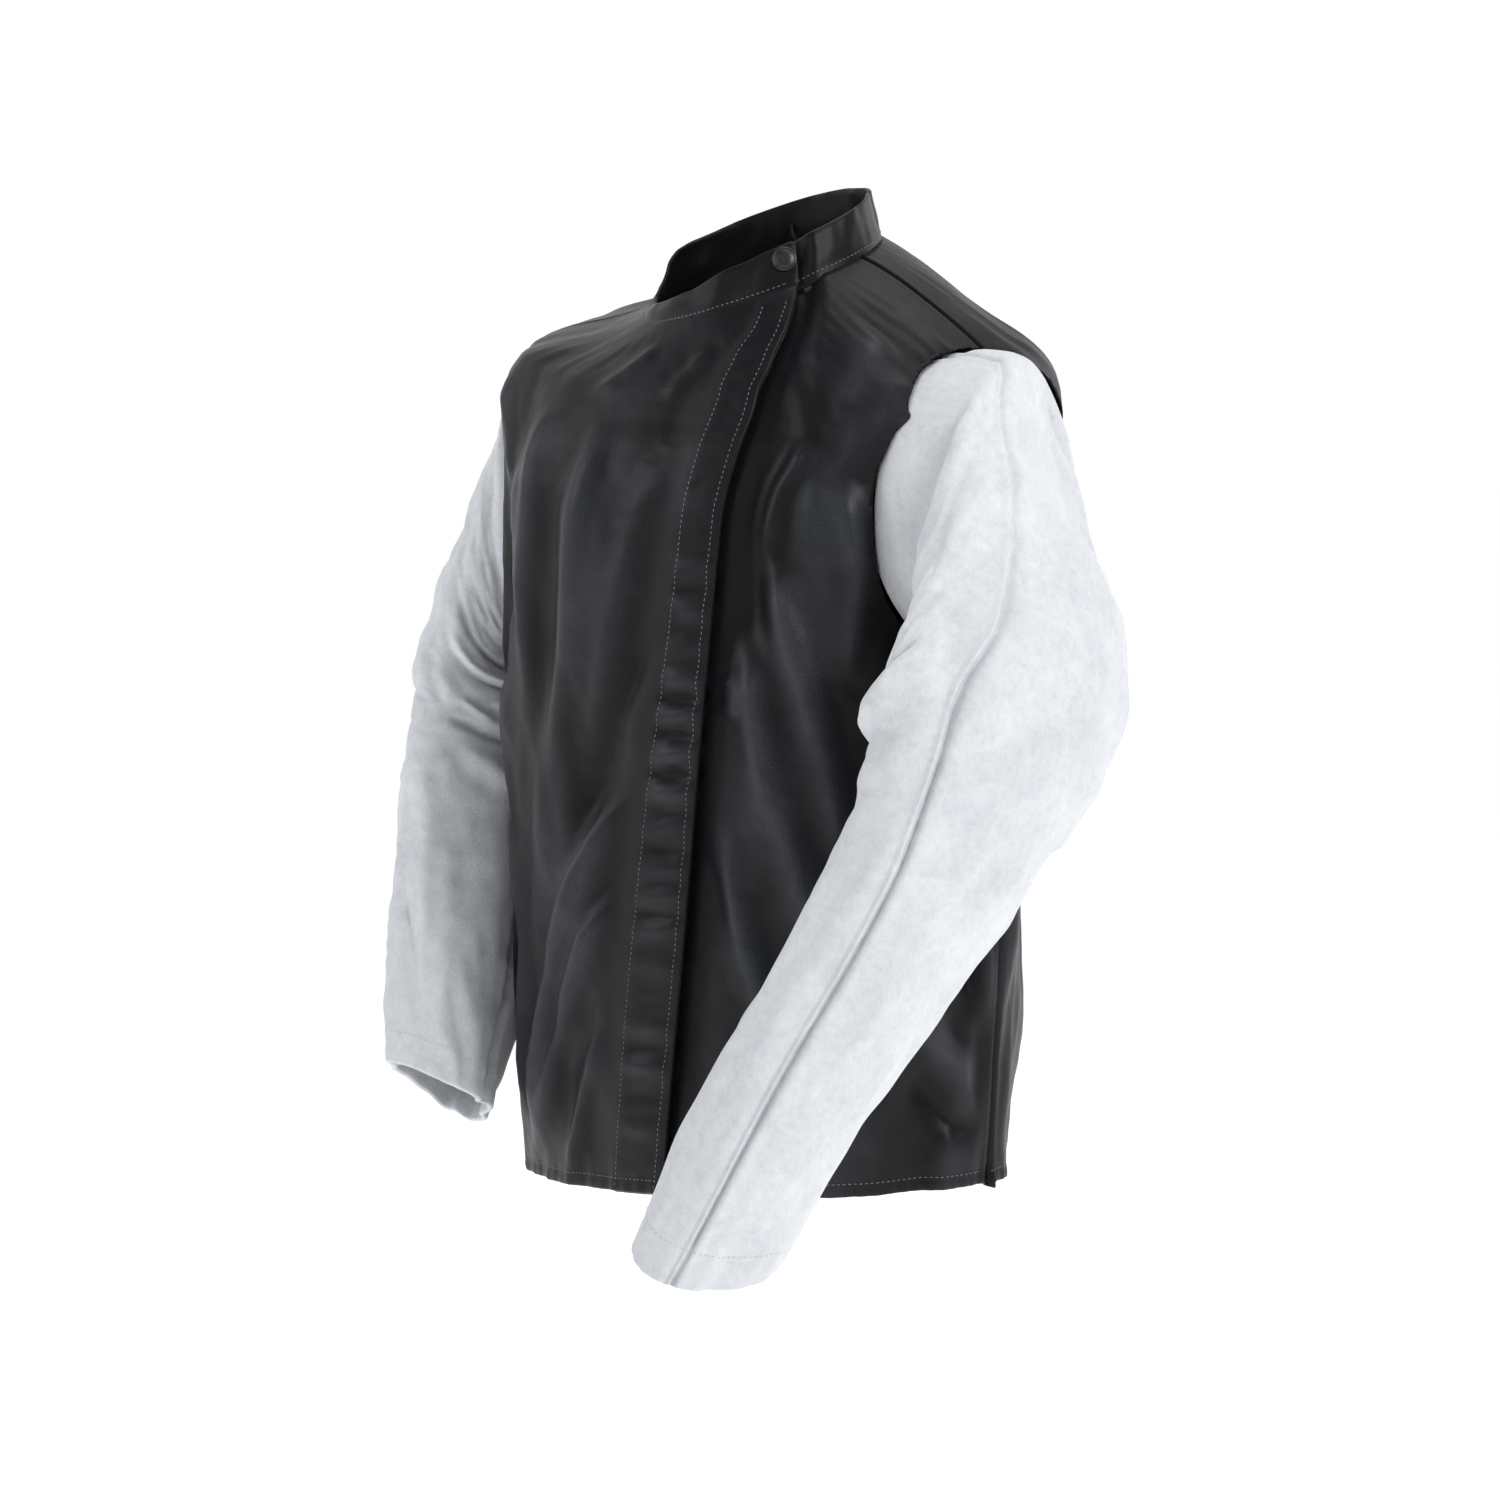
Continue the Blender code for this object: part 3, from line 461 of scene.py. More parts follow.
def cut(obj, cutter):
    boolean = obj.modifiers.new("cut", "BOOLEAN")
    boolean.operation = "DIFFERENCE"
    boolean.solver = "EXACT"
    boolean.object = cutter


def even_heights(low, high, spacing):
    """Heights whose steps over the front, the back and the shoulders are about the spacing apart."""
    fine = np.linspace(low, high, 800)
    steps = 0.0
    for angle in (0.0, -0.5 * math.pi, 0.5 * math.pi, math.pi):
        steps = steps + np.linalg.norm(np.diff(body_point(angle, fine), axis=0), axis=1) / 4.0
    length = np.concatenate(((0.0,), np.cumsum(steps)))
    count = max(2, int(round(length[-1] / spacing)))
    return np.interp(np.linspace(0.0, length[-1], count + 1), length, fine)


def arc_speed(angle, height):
    """Metres along the body for each radian of angle."""
    step = 1e-3
    chord = body_point(angle + step, height) - body_point(angle - step, height)
    return np.linalg.norm(chord, axis=-1) / (2 * step)


def along_line(points):
    """How far along a line of points each one lies."""
    return np.concatenate(((0.0,), np.cumsum(np.linalg.norm(np.diff(points, axis=0), axis=1))))


TURN_STEPS = np.radians((180.0, 144.0, 108.0, 72.0, 36.0, 0.0))
GRID = 0.0040


def hem_rows():
    """Rows of (height, rise): round the turned hem, then up to the neck seam."""
    turned = [(HEM_TURN * (1.0 - math.sin(t)), -HEM_TURN * (1.0 - math.cos(t))) for t in TURN_STEPS[:-1]]
    plain = [(h, 0.0) for h in even_heights(HEM_TURN, NECK_HEIGHT, GRID)]
    return np.array(turned + plain)


def body_sheet(angles, rise, rows):
    """A sheet of the body from its angle and extra rise at each row and column."""
    height = np.broadcast_to(rows[:, :1], angles.shape)
    points = raised(body_point, angles, height, rise + rows[:, 1:])
    up = along_line(points[:, points.shape[1] // 2])
    return Sheet(points + DATUM, angles * BODY_RADIUS, np.broadcast_to(up[:, None], angles.shape).copy())


PLACKET_FLATNESS = 0.88
PUCKER_SIZE = 1.8
# PUCKER_RELIEF strengthens the puckers in the relief that paints shade and highlights into the cotton.
PUCKER_RELIEF = 1.6
PUCKERS = (
    # Height, outward size and half length along the placket of each small cross fold, bottom to top.
    (0.048, 0.0012, 0.006), (0.072, -0.0008, 0.005), (0.092, 0.0018, 0.006), (0.107, -0.0014, 0.005),
    (0.121, 0.0014, 0.006), (0.168, 0.0010, 0.006), (0.196, 0.0016, 0.006), (0.208, -0.0012, 0.004),
    (0.222, 0.0017, 0.006), (0.243, 0.0013, 0.006), (0.259, -0.0011, 0.005), (0.275, 0.0014, 0.006),
    (0.302, 0.0026, 0.007), (0.316, -0.0024, 0.005), (0.331, 0.0029, 0.007), (0.347, -0.0020, 0.005),
    (0.361, 0.0024, 0.006), (0.374, -0.0024, 0.005), (0.388, 0.0022, 0.006), (0.412, 0.0010, 0.006),
    (0.440, 0.0014, 0.007), (0.456, -0.0010, 0.005), (0.472, 0.0012, 0.006), (0.520, 0.0007, 0.010),
)


def closure_share(angle, height):
    """1 on the placket, fading to 0 beside it, where the cloth is free to fold."""
    lead = np.degrees(angle - inner_edge(height))
    trail = np.degrees(angle - free_edge(height))
    return smoothstep(-9.0, 0.0, lead) * (1.0 - smoothstep(0.0, 9.0, trail))


def body_rise(angle, height):
    """Folds, seams and the swell of the hem, the same for each layer of cloth at one place."""
    closure = closure_share(angle, height)
    rise = body_folds(angle, height) * (1.0 - PLACKET_FLATNESS * closure)
    reach = np.minimum(np.abs(angle), math.pi - np.abs(angle)) * BODY_RADIUS
    rise = rise * (0.35 + 0.65 * smoothstep(0.0, 0.030, reach)) + seam_dip(reach, 0.0012, 0.0026)
    hem = np.exp(-(((height - 0.011) / 0.0022) ** 2))
    rise = rise - 0.0006 * hem + 0.0007 * np.sin(angle * 95.0) * np.exp(-(((height - 0.005) / 0.006) ** 2))
    rise = rise + 0.0022 * np.sin(angle * 9.0 + 0.8) * (1.0 - smoothstep(0.0, 0.20, height)) * (1.0 - closure)
    corner = np.exp(-(((np.degrees(angle) - 1.5) / 1.6) ** 2)) * (1.0 - smoothstep(0.003, 0.016, height))
    return rise + 0.0035 * corner


def pucker_rise(angle, height):
    first, last = inner_edge(height), free_edge(height)
    share = np.clip((angle - first) / (last - first), 0.0, 1.0)
    window = np.sin(math.pi * share) ** 0.9
    total = np.zeros(angle.shape)
    for k, (level, size, half) in enumerate(PUCKERS):
        tilt = 0.006 * math.sin(2.4 * k) * (share - 0.5)
        total = total + PUCKER_SIZE * size * np.exp(-(((height - level - tilt) / half) ** 2))
    quilting = 0.00018 * ripples(share * 0.045, height, 0.030, 0.012, 21)
    return window * (total + quilting)


def hem_drop(points, angles, rows):
    """The bulky end of the side seam hangs a little below the hem."""
    corner = np.exp(-(((np.degrees(angles) - 1.5) / 1.6) ** 2))
    points[..., 2] -= 0.0042 * corner * (1.0 - smoothstep(0.002, 0.014, rows[:, :1]))
    return points


def lay_columns(parts):
    """Joins parts of a sheet side by side, each of angles and rises at every row."""
    return np.concatenate([p[0] for p in parts], 1), np.concatenate([p[1] for p in parts], 1)


def between(start, end, count, rows, rise=0.0, ends=(True, True)):
    """Columns between two edges, each an angle or a function of height."""
    height = rows[:, 0]
    first = start(height) if callable(start) else np.full_like(height, start)
    last = end(height) if callable(end) else np.full_like(height, end)
    share = np.linspace(0.0, 1.0, count + 1)[(0 if ends[0] else 1) : (None if ends[1] else -1)]
    angle = first[:, None] + (last - first)[:, None] * share
    level = np.broadcast_to(height[:, None], angle.shape)
    lift = rise(angle, level) if callable(rise) else np.full(angle.shape, float(rise))
    return angle, lift


def finish_body_sheet(name, angles, rise, rows, material, thickness=CLOTH):
    """A piece of the body with the folds shared by all its layers, and with its relief, which the material
    turns into painted shade in the fold valleys and painted highlights on the ridges.
    """
    level = np.broadcast_to(rows[:, :1], angles.shape)
    sheet = body_sheet(angles, rise + body_rise(angles, level), rows)
    hem_drop(sheet.points, angles, rows)
    obj = mesh_of(name, sheet, material, thickness)
    # The relief of folds and puckers, which the cotton paints as shade in the valleys and highlights on the
    # ridges.
    relief = body_folds(angles, level) * (1.0 - PLACKET_FLATNESS * closure_share(angles, level))
    relief = relief + PUCKER_RELIEF * pucker_rise(angles, level) * (angles < free_edge(level))
    values = obj.data.attributes.new("relief", "FLOAT", "POINT").data
    values.foreach_set("value", relief.astype(np.float32).ravel())
    return obj, sheet


def placket_rise(angle, height):
    """The right front steps up where the placket begins."""
    lead = (angle - inner_edge(height)) * BODY_RADIUS
    return PLACKET_RISE * smoothstep(-0.014, 0.006, lead) + pucker_rise(angle, height)


def turned_columns(angle_at, rise_at, turns, rows):
    """Columns round a turned edge, from functions of the turn."""
    return [(angle_at(t)[:, None], np.full((len(rows), 1), rise_at(t))) for t in turns]


def make_right_front():
    rows = hem_rows()
    height = rows[:, 0]
    radius = (PLACKET_RISE + CLOTH) / 2.0
    edge = free_edge(height)
    speed = arc_speed(edge, height)

    def turn_start(h):
        return free_edge(h) - radius / speed

    tuck = between(-math.pi - 0.002, -math.pi + 0.008, 1, rows, -0.0024)
    main = between(-math.pi + 0.010, lambda h: inner_edge(h) - 0.03, 62, rows, placket_rise)
    strip = between(lambda h: inner_edge(h) - 0.022, turn_start, 17, rows, placket_rise)
    turned = turned_columns(
        lambda t: edge + radius * (math.sin(t) - 1.0) / speed,
        lambda t: PLACKET_RISE - radius * (1.0 - math.cos(t)),
        TURN_STEPS[::-1][1:],
        rows,
    )
    back = between(turn_start, inner_edge, 8, rows, -CLOTH, (False, True))
    angles, rise = lay_columns([tuck, main, strip, *turned, back])
    return finish_body_sheet("right_front", angles, rise, rows, COTTON)


def make_left_front():
    rows = hem_rows()
    height = rows[:, 0]
    radius = 0.0018
    edge = underlap_edge(height)
    speed = arc_speed(edge, height)

    def turn_end(h):
        return underlap_edge(h) + radius / speed

    under = between(free_edge, turn_end, 10, rows, -UNDERLAP_DEPTH - 2 * radius)
    turned = turned_columns(
        lambda t: edge + radius * (1.0 - math.sin(t)) / speed,
        lambda t: -UNDERLAP_DEPTH - radius * (1.0 - math.cos(t)),
        TURN_STEPS[1:-1],
        rows,
    )
    main = between(turn_end, -0.010, 90, rows, underlap_rise)
    tuck = between(-0.008, 0.002, 1, rows, -0.0024)
    angles, rise = lay_columns([under, *turned, main, tuck])
    return finish_body_sheet("left_front", angles, rise, rows, COTTON)


def make_back():
    rows = hem_rows()
    tuck = between(-0.002, 0.008, 1, rows, -0.0030)
    main = between(0.010, math.pi - 0.010, 138, rows)
    end = between(math.pi - 0.008, math.pi + 0.002, 1, rows, -0.0030)
    angles, rise = lay_columns([tuck, main, end])
    return finish_body_sheet("back", angles, rise, rows, COTTON)


def make_strip(name, start, end, columns, low, high, rise, thickness):
    """A facing or a turned hem behind a piece of the body."""
    rows = np.array([(h, 0.0) for h in even_heights(low, high, 0.006)])
    angles, lift = between(start, end, columns, rows, rise)
    return bake(finish_body_sheet(name, angles, lift, rows, LINING, thickness)[0])


# ---------------------------------------------------------------- collar


def collar_dip(angle):
    """How much lower the rim stands where the collar falls open at the wearer's right front."""
    degrees = np.degrees(angle)
    return smooth_curve(COLLAR_DIP_ANGLES, COLLAR_DIPS, np.where(degrees > 150.0, degrees - 360.0, degrees))


COLLAR_LAYER = 0.0014
COLLAR_RADIUS = 0.093
COLLAR_TIP = np.array((0.0006, 0.0010, 0.0012)) / COLLAR_RADIUS


def make_collar(name, start, end, columns, sink=None, end_turn=None):
    """A stand collar of two layers: up the outside, over the top edge and down the inside."""
    angle = np.linspace(start, end, columns + 1)
    if end_turn == "last":
        angle = np.concatenate((angle, end + COLLAR_TIP))
    if end_turn == "first":
        angle = np.concatenate((start - COLLAR_TIP[::-1], angle))
    tip = angle[-1] if end_turn == "last" else angle[0]
    from_tip = np.abs(angle - tip) * COLLAR_RADIUS if end_turn else np.full(angle.shape, 1.0)
    part = np.sqrt(np.clip(1.0 - (1.0 - np.clip(from_tip / COLLAR_LAYER, 0.0, 1.0)) ** 2, 0.02, 1.0))
    corner = np.clip(1.0 - from_tip / 0.006, 0.0, 1.0)
    dip = collar_dip(angle)
    top = COLLAR_HEIGHT - dip - 0.006 * (1.0 - np.sqrt(np.clip(1.0 - corner * corner, 0.0, 1.0)))
    foot = -0.004 - 0.10 * dip
    shares = np.linspace(0.0, 1.0, 11)[:-1]
    rise = [foot + (top - COLLAR_LAYER - foot) * share for share in shares]
    turns = np.radians((0.0, 45.0, 90.0, 135.0, 180.0))
    level = np.array([*rise, *[top - COLLAR_LAYER * (1.0 - math.sin(t)) for t in turns], *rise[::-1]])
    sides = np.array([1.0] * 10 + [math.cos(t) for t in turns] + [-1.0] * 10)
    a = np.broadcast_to(angle, level.shape)
    sunk = 0.0 if sink is None else sink(a)
    sag = 0.0008 * ripples(a * COLLAR_RADIUS, level, 0.05, 0.06, 31)
    sag = sag + 0.0002 * ripples(a * COLLAR_RADIUS, level, 0.018, 0.02, 32)
    sag = sag + COLLAR_DIP_LEAN * dip * smoothstep(0.0, 1.0, np.clip(level / np.maximum(top, 1e-3), 0.0, 1.0))
    middle = -0.0011 + sunk + sag * smoothstep(0.0, 0.012, level)
    points = raised(collar_point, a, level, middle + COLLAR_LAYER * sides[:, None] * part) + DATUM
    up = np.broadcast_to((0.003 * np.arange(len(level)))[:, None], a.shape).copy()
    sheet = Sheet(points, a * COLLAR_RADIUS, up)
    return bake(mesh_of(name, sheet, SHADED_COLLAR_COTTON, 0.0011)), sheet


# ---------------------------------------------------------------- sleeves

# Paths are (turn in degrees, section); then height, width in metres and skew.
LEFT_SLEEVE_FOLDS = (
    (((112, 1.1), (106, 2.0), (100, 3.0), (94, 4.0)), -0.0040, 0.010, 0.6),
    (((90, 1.1), (86, 2.2), (88, 3.2)), 0.0030, 0.012, 0.3),
    (((118, 5.0), (104, 4.7), (88, 4.4), (68, 4.6)), 0.0026, 0.012, 0.6),
    (((106, 5.7), (96, 5.5), (84, 5.4), (66, 5.7)), -0.0026, 0.012, 0.5),
    (((155, 6.4), (128, 6.4), (100, 6.5), (76, 6.8)), 0.0020, 0.014, -0.4),
    (((114, 6.9), (104, 7.1), (94, 7.3), (80, 7.7)), -0.0036, 0.011, 0.5),
    (((168, 7.5), (138, 7.7), (110, 8.0), (86, 8.3)), 0.0026, 0.013, -0.4),
    (((172, 8.0), (142, 8.3), (118, 8.8)), -0.0020, 0.012, 0.3),
    (((58, 5.2), (50, 6.0), (52, 7.0), (58, 8.0)), -0.0040, 0.011, 0.4),
    (((62, 8.2), (74, 9.4), (78, 10.6), (74, 11.5)), 0.0030, 0.013, 0.5),
    (((100, 8.9), (104, 10.0), (100, 11.2)), 0.0025, 0.014, -0.4),
    (((16, 7.2), (22, 8.6), (18, 10.2), (20, 11.4)), 0.0028, 0.013, 0.4),
    (((-14, 5.6), (4, 6.2), (20, 6.7)), 0.0030, 0.013, 0.4),
    (((-24, 6.6), (-4, 6.9), (16, 7.4)), -0.0030, 0.012, 0.4),
    (((-30, 7.6), (-6, 7.9), (14, 8.4)), 0.0028, 0.012, -0.4),
    (((20, 2.2), (14, 3.4), (16, 4.8)), 0.0030, 0.014, 0.4),
    (((70, 2.6), (66, 3.6), (72, 4.4)), -0.0028, 0.013, 0.4),
    (((30, 11.2), (8, 11.5), (-14, 11.4)), 0.0018, 0.010, 0.4),
    (((-60, 5.0), (-90, 5.6), (-120, 5.8)), 0.0040, 0.013, 0.5),
    (((-50, 6.4), (-85, 6.8), (-125, 6.8)), -0.0045, 0.012, 0.5),
    (((-60, 7.8), (-95, 7.7), (-130, 7.5)), 0.0045, 0.013, -0.5),
    (((-70, 2.2), (-85, 3.2), (-95, 4.2)), 0.0035, 0.014, 0.5),
)
RIGHT_SLEEVE_FOLDS = (
    (((196, 3.9), (160, 4.1), (122, 4.0), (90, 3.7)), -0.0055, 0.0095, 0.7),
    (((200, 4.5), (165, 4.75), (130, 4.8), (96, 4.35)), 0.0060, 0.010, 0.6),
    (((205, 4.95), (168, 5.15), (128, 5.05), (92, 4.75)), -0.0075, 0.0095, 0.6),
    (((214, 5.7), (190, 5.55), (168, 5.35), (152, 5.2)), -0.0170, 0.0125, 0.3),
    (((212, 6.35), (182, 6.2), (158, 5.9), (142, 5.5)), 0.0065, 0.011, 0.5),
    (((210, 7.25), (176, 7.2), (140, 7.0), (104, 6.65)), -0.0075, 0.009, 0.8),
    (((208, 7.75), (178, 7.75), (150, 7.6), (120, 7.3)), 0.0060, 0.012, -0.4),
    (((212, 8.35), (188, 8.45), (166, 8.4)), -0.0090, 0.011, 0.5),
    (((120, 5.6), (140, 6.3), (152, 6.9)), 0.0035, 0.009, 0.5),
    (((66, 6.2), (60, 7.4), (66, 8.6)), -0.0040, 0.010, 0.6),
    (((110, 8.0), (108, 9.0), (112, 10.0)), 0.0035, 0.013, 0.6),
    (((142, 8.8), (138, 9.6), (142, 10.3)), -0.0028, 0.014, 0.4),
    (((78, 9.4), (96, 10.1), (112, 10.7)), -0.0038, 0.008, 0.6),
    (((132, 10.1), (148, 10.5), (166, 10.85)), -0.0045, 0.009, 0.5),
    (((120, 10.5), (142, 10.75), (158, 10.95)), 0.0032, 0.008, 0.4),
    (((-10, 5.2), (8, 5.6), (28, 5.7)), 0.0035, 0.012, 0.4),
    (((-30, 6.2), (0, 6.5), (30, 6.6)), -0.0040, 0.012, 0.4),
    (((-40, 7.0), (-5, 7.4), (26, 7.5)), 0.0035, 0.012, 0.4),
    (((-60, 5.0), (-90, 5.6), (-120, 5.8)), 0.0045, 0.013, 0.5),
    (((-50, 6.4), (-85, 6.8), (-125, 6.8)), -0.0045, 0.012, 0.5),
    (((-60, 7.8), (-95, 7.7), (-130, 7.5)), 0.0045, 0.013, -0.5),
    (((-70, 2.2), (-85, 3.2), (-95, 4.2)), 0.0035, 0.014, 0.5),
    (((-80, 9.0), (-110, 9.6), (-140, 9.8)), 0.0035, 0.012, 0.5),
)
SECTION_LENGTH = 0.062
TURN_RADIUS = 0.074
SLEEVE_COLUMNS = 124


def sleeve_folds(turn, section, folds, seed):
    """Folds of a sleeve, repeated a turn on so that none stops at the first column."""
    b = np.asarray(section, float) * SECTION_LENGTH
    total = np.zeros(np.broadcast(turn, b).shape)
    around = np.radians(turn)
    circle_x, circle_y = TURN_RADIUS * np.cos(around), TURN_RADIUS * np.sin(around)
    for size, scale, shift in ((0.0018, 0.085, 0), (0.0009, 0.040, 1), (0.0004, 0.018, 2)):
        total = total + size * (
            ripples(circle_x, b, scale, 1.5 * scale, seed + shift)
            + ripples(circle_y, b, scale, 1.5 * scale, seed + 10 + shift)
        ) / math.sqrt(2.0)
    for path, rise, width, skew in folds:
        line = [(degrees * DEGREE * TURN_RADIUS, level * SECTION_LENGTH) for degrees, level in path]
        for lap in (-360.0, 0.0, 360.0):
            a = (turn + lap) * DEGREE * TURN_RADIUS + 0.0 * b
            total = total + crease(a, b, line, rise, width, skew)
    return total


def inside_body(points):
    """Whether points, with heights from the hem, lie inside the body's outer face."""
    x, y, z = points[..., 0], points[..., 1], points[..., 2]
    height = z.copy()
    for _ in range(12):
        forward, sideways = ring_slopes(height)
        height = 0.5 * height + 0.5 * (z - forward * y - sideways * x)
    half_width, half_depth, squarer = body_section(height)
    power = 2.0 + squarer * (y > 0.0)
    reach = np.abs(x / half_width) ** power + np.abs(y / half_depth) ** power
    return (reach < 1.0) & (height < NECK_HEIGHT)


def angle_gap(turn, target):
    return (turn - target + 180.0) % 360.0 - 180.0


SEAM_COLUMNS = np.array((0.0, 0.0009, 0.0020, 0.0034, 0.0052, 0.0075, 0.0105))
CUFF_SPEED = 0.125
CUFF_RADIUS = 0.0026
CUFF_FACING = (0.006, 0.012, 0.018, 0.024)
CUFF_ROWS = len(TURN_STEPS) + len(CUFF_FACING)
BURIED_SECTIONS = 0.16


def sleeve_columns():
    """Degrees from the front seam to each column, which stand close together beside the seam."""
    beside = SEAM_COLUMNS / (DEGREE * TURN_RADIUS)
    rest = np.linspace(beside[-1], 360.0 - beside[-1], SLEEVE_COLUMNS - 11)[1:-1]
    return np.concatenate((beside, rest, 360.0 - beside[:0:-1]))


def sleeve_exit(sections, turn, side):
    """The section at which each column comes out of the body."""
    around = np.radians(turn)
    trial = np.linspace(0.0, 1.0, 141)
    probe = sleeve_point(sections, trial[:, None] + 0.0 * around, around + 0.0 * trial[:, None], side)
    first = np.array([trial[column].max() if column.any() else 0.0 for column in inside_body(probe).T])
    padded = np.concatenate((first[-4:], first, first[:4]))
    return np.convolve(padded, np.ones(5) / 5.0, "same")[4:-4]


def sleeve_rows(sections, first, side):
    """Sections of the rows at each column: out of the armhole, down, and round the end into the cuff."""
    last = len(sections) - 1.0
    start = np.maximum(first - BURIED_SECTIONS, 0.0)
    mouth = start + (1.0 - start) * np.linspace(0.0, 1.0, 9)[:-1, None]
    fine = np.linspace(1.0, last, 600)
    length = 0.0
    for degrees in (0.0, 90.0, 180.0, 270.0):
        line = sleeve_point(sections, fine, np.radians(degrees) + 0.0 * fine, side)
        length = length + along_line(line) / 4.0
    plain = np.interp(np.linspace(0.0, length[-1], int(round(length[-1] / GRID)) + 1), length, fine)
    plain = plain[plain < last - CUFF_RADIUS / CUFF_SPEED - 0.02]
    turned = [last - CUFF_RADIUS * (1.0 - math.sin(t)) / CUFF_SPEED for t in TURN_STEPS[::-1]]
    facing = [last - (CUFF_RADIUS + inner) / CUFF_SPEED for inner in CUFF_FACING]
    return np.concatenate((mouth, np.concatenate((plain, turned, facing))[:, None] + 0.0 * first))


def seam_rise(degrees, section, front_seam):
    """Grooves of the front seam and the underarm seam, with the lip and the small gathers beside them."""
    deeper = 1.0 + 0.9 * smoothstep(4.5, 6.5, section)
    gathers = 0.0006 * np.sin(section * 26.0 + 2.0 * np.sin(section * 7.0))
    rise = 0.0
    for seam, deep, narrow in ((front_seam, deeper, 0.0018), (SEAM_UNDER, 1.0, 0.0040)):
        gap = angle_gap(degrees, seam) * DEGREE * TURN_RADIUS
        near = np.exp(-((gap / 0.011) ** 2))
        lip = 0.0016 * np.exp(-(((gap + 0.006) / 0.007) ** 2))
        rise = rise + deep * (seam_dip(gap, 0.0030, narrow) - 0.0012 * near + lip) + gathers * near
    return rise


def make_sleeve(label, sections, side, seam_turns, folds, seed):
    """A sleeve from just inside the armhole to its turned cuff."""
    last = len(sections) - 1.0
    from_seam = sleeve_columns()
    first = sleeve_exit(sections, seam_turns[0] + from_seam, side)
    section = sleeve_rows(sections, first, side)
    front_seam = smooth_curve(SEAM_SECTIONS, seam_turns, np.maximum(section, 0.0))
    degrees = front_seam + from_seam
    turns = np.radians(degrees)

    out = np.maximum(section - first, 0.0) * 0.07 + np.maximum(section - 1.0, 0.0) * 0.03
    rise = sleeve_folds(degrees, section, folds, seed) * smoothstep(0.004, 0.05, out)
    flat = angle_gap(degrees, HEAD_FLAT_TURN) / 34.0
    window = smoothstep(0.7, 1.5, section) * (1.0 - smoothstep(3.0, 5.5, section))
    rise = rise - (0.016 if side > 0 else 0.006) * window * np.exp(-flat * flat)
    head = smoothstep(0.0, 0.012, out) * (1.0 - smoothstep(0.014, 0.06, out))
    rise = rise + 0.0012 * head - 0.0016 * (1.0 - smoothstep(0.0, 0.006, out))
    rise = rise + seam_rise(degrees, section, front_seam)
    to_end = (last - section) * CUFF_SPEED
    rise = rise - 0.0006 * np.exp(-(((to_end - 0.020) / 0.003) ** 2))
    near_cuff = 1.0 - smoothstep(0.0, 0.045, to_end)
    circle_x, circle_y = 0.05 * np.cos(turns), 0.05 * np.sin(turns)
    rise = rise + near_cuff * 0.0007 * ripples(circle_x, circle_y, 0.050, 0.050, seed + 40)
    if side < 0:
        behind = smoothstep(195.0, 235.0, degrees) * (1.0 - smoothstep(300.0, 345.0, degrees))
        wave = np.sin(turns * 6.0 + 0.7) + 0.35 * np.sin(turns * 11.0)
        rise = rise + near_cuff * behind * (0.0042 * wave - 0.003)
    tucked = [-CUFF_RADIUS * (1.0 - math.cos(t)) for t in TURN_STEPS[::-1]]
    rise[-CUFF_ROWS:] += np.array(tucked + [-2.0 * CUFF_RADIUS] * len(CUFF_FACING))[:, None]

    def point(section, turns):
        return sleeve_point(sections, section, turns, side)

    step = 1e-3
    along = point(section, turns + step) - point(section, turns - step)
    down = point(section + step, turns) - point(section - step, turns)
    normal = np.cross(along, down) * side
    normal = normal / np.linalg.norm(normal, axis=-1, keepdims=True)
    down = down / np.linalg.norm(down, axis=-1, keepdims=True)
    points = point(section, turns) + normal * rise[..., None]
    if side < 0:
        points = points + down * (near_cuff * behind * (0.0100 + 0.0026 * np.cos(turns * 4.0)))[..., None]
    else:
        front = angle_gap(degrees, 136.0) / 42.0
        window = smoothstep(0.9, 2.1, section) * (1.0 - smoothstep(2.6, 5.2, section))
        points = points + (window * np.exp(-front * front))[..., None] * np.array(SLEEVE_FRONT_SHIFT)
        facing = np.maximum(np.cos(np.radians(0.9 * angle_gap(degrees, CUFF_FACING_TURN))), 0.0)
        near_end = smoothstep(last - 1.2, last, section)
        points = points + down * (near_end * CUFF_TILT * (facing - 0.34))[..., None]
    across = degrees * DEGREE * TURN_RADIUS
    up = np.broadcast_to((np.arange(len(section)) * GRID)[:, None], section.shape).copy()
    if side < 0:
        points, across = points[:, ::-1], across[:, ::-1]
    sheet = Sheet(points + DATUM, across, up, wrapped=True)
    return bake(mesh_of(f"{label}_sleeve", sheet, SUEDE, LEATHER)), sheet


# ---------------------------------------------------------------- stitches


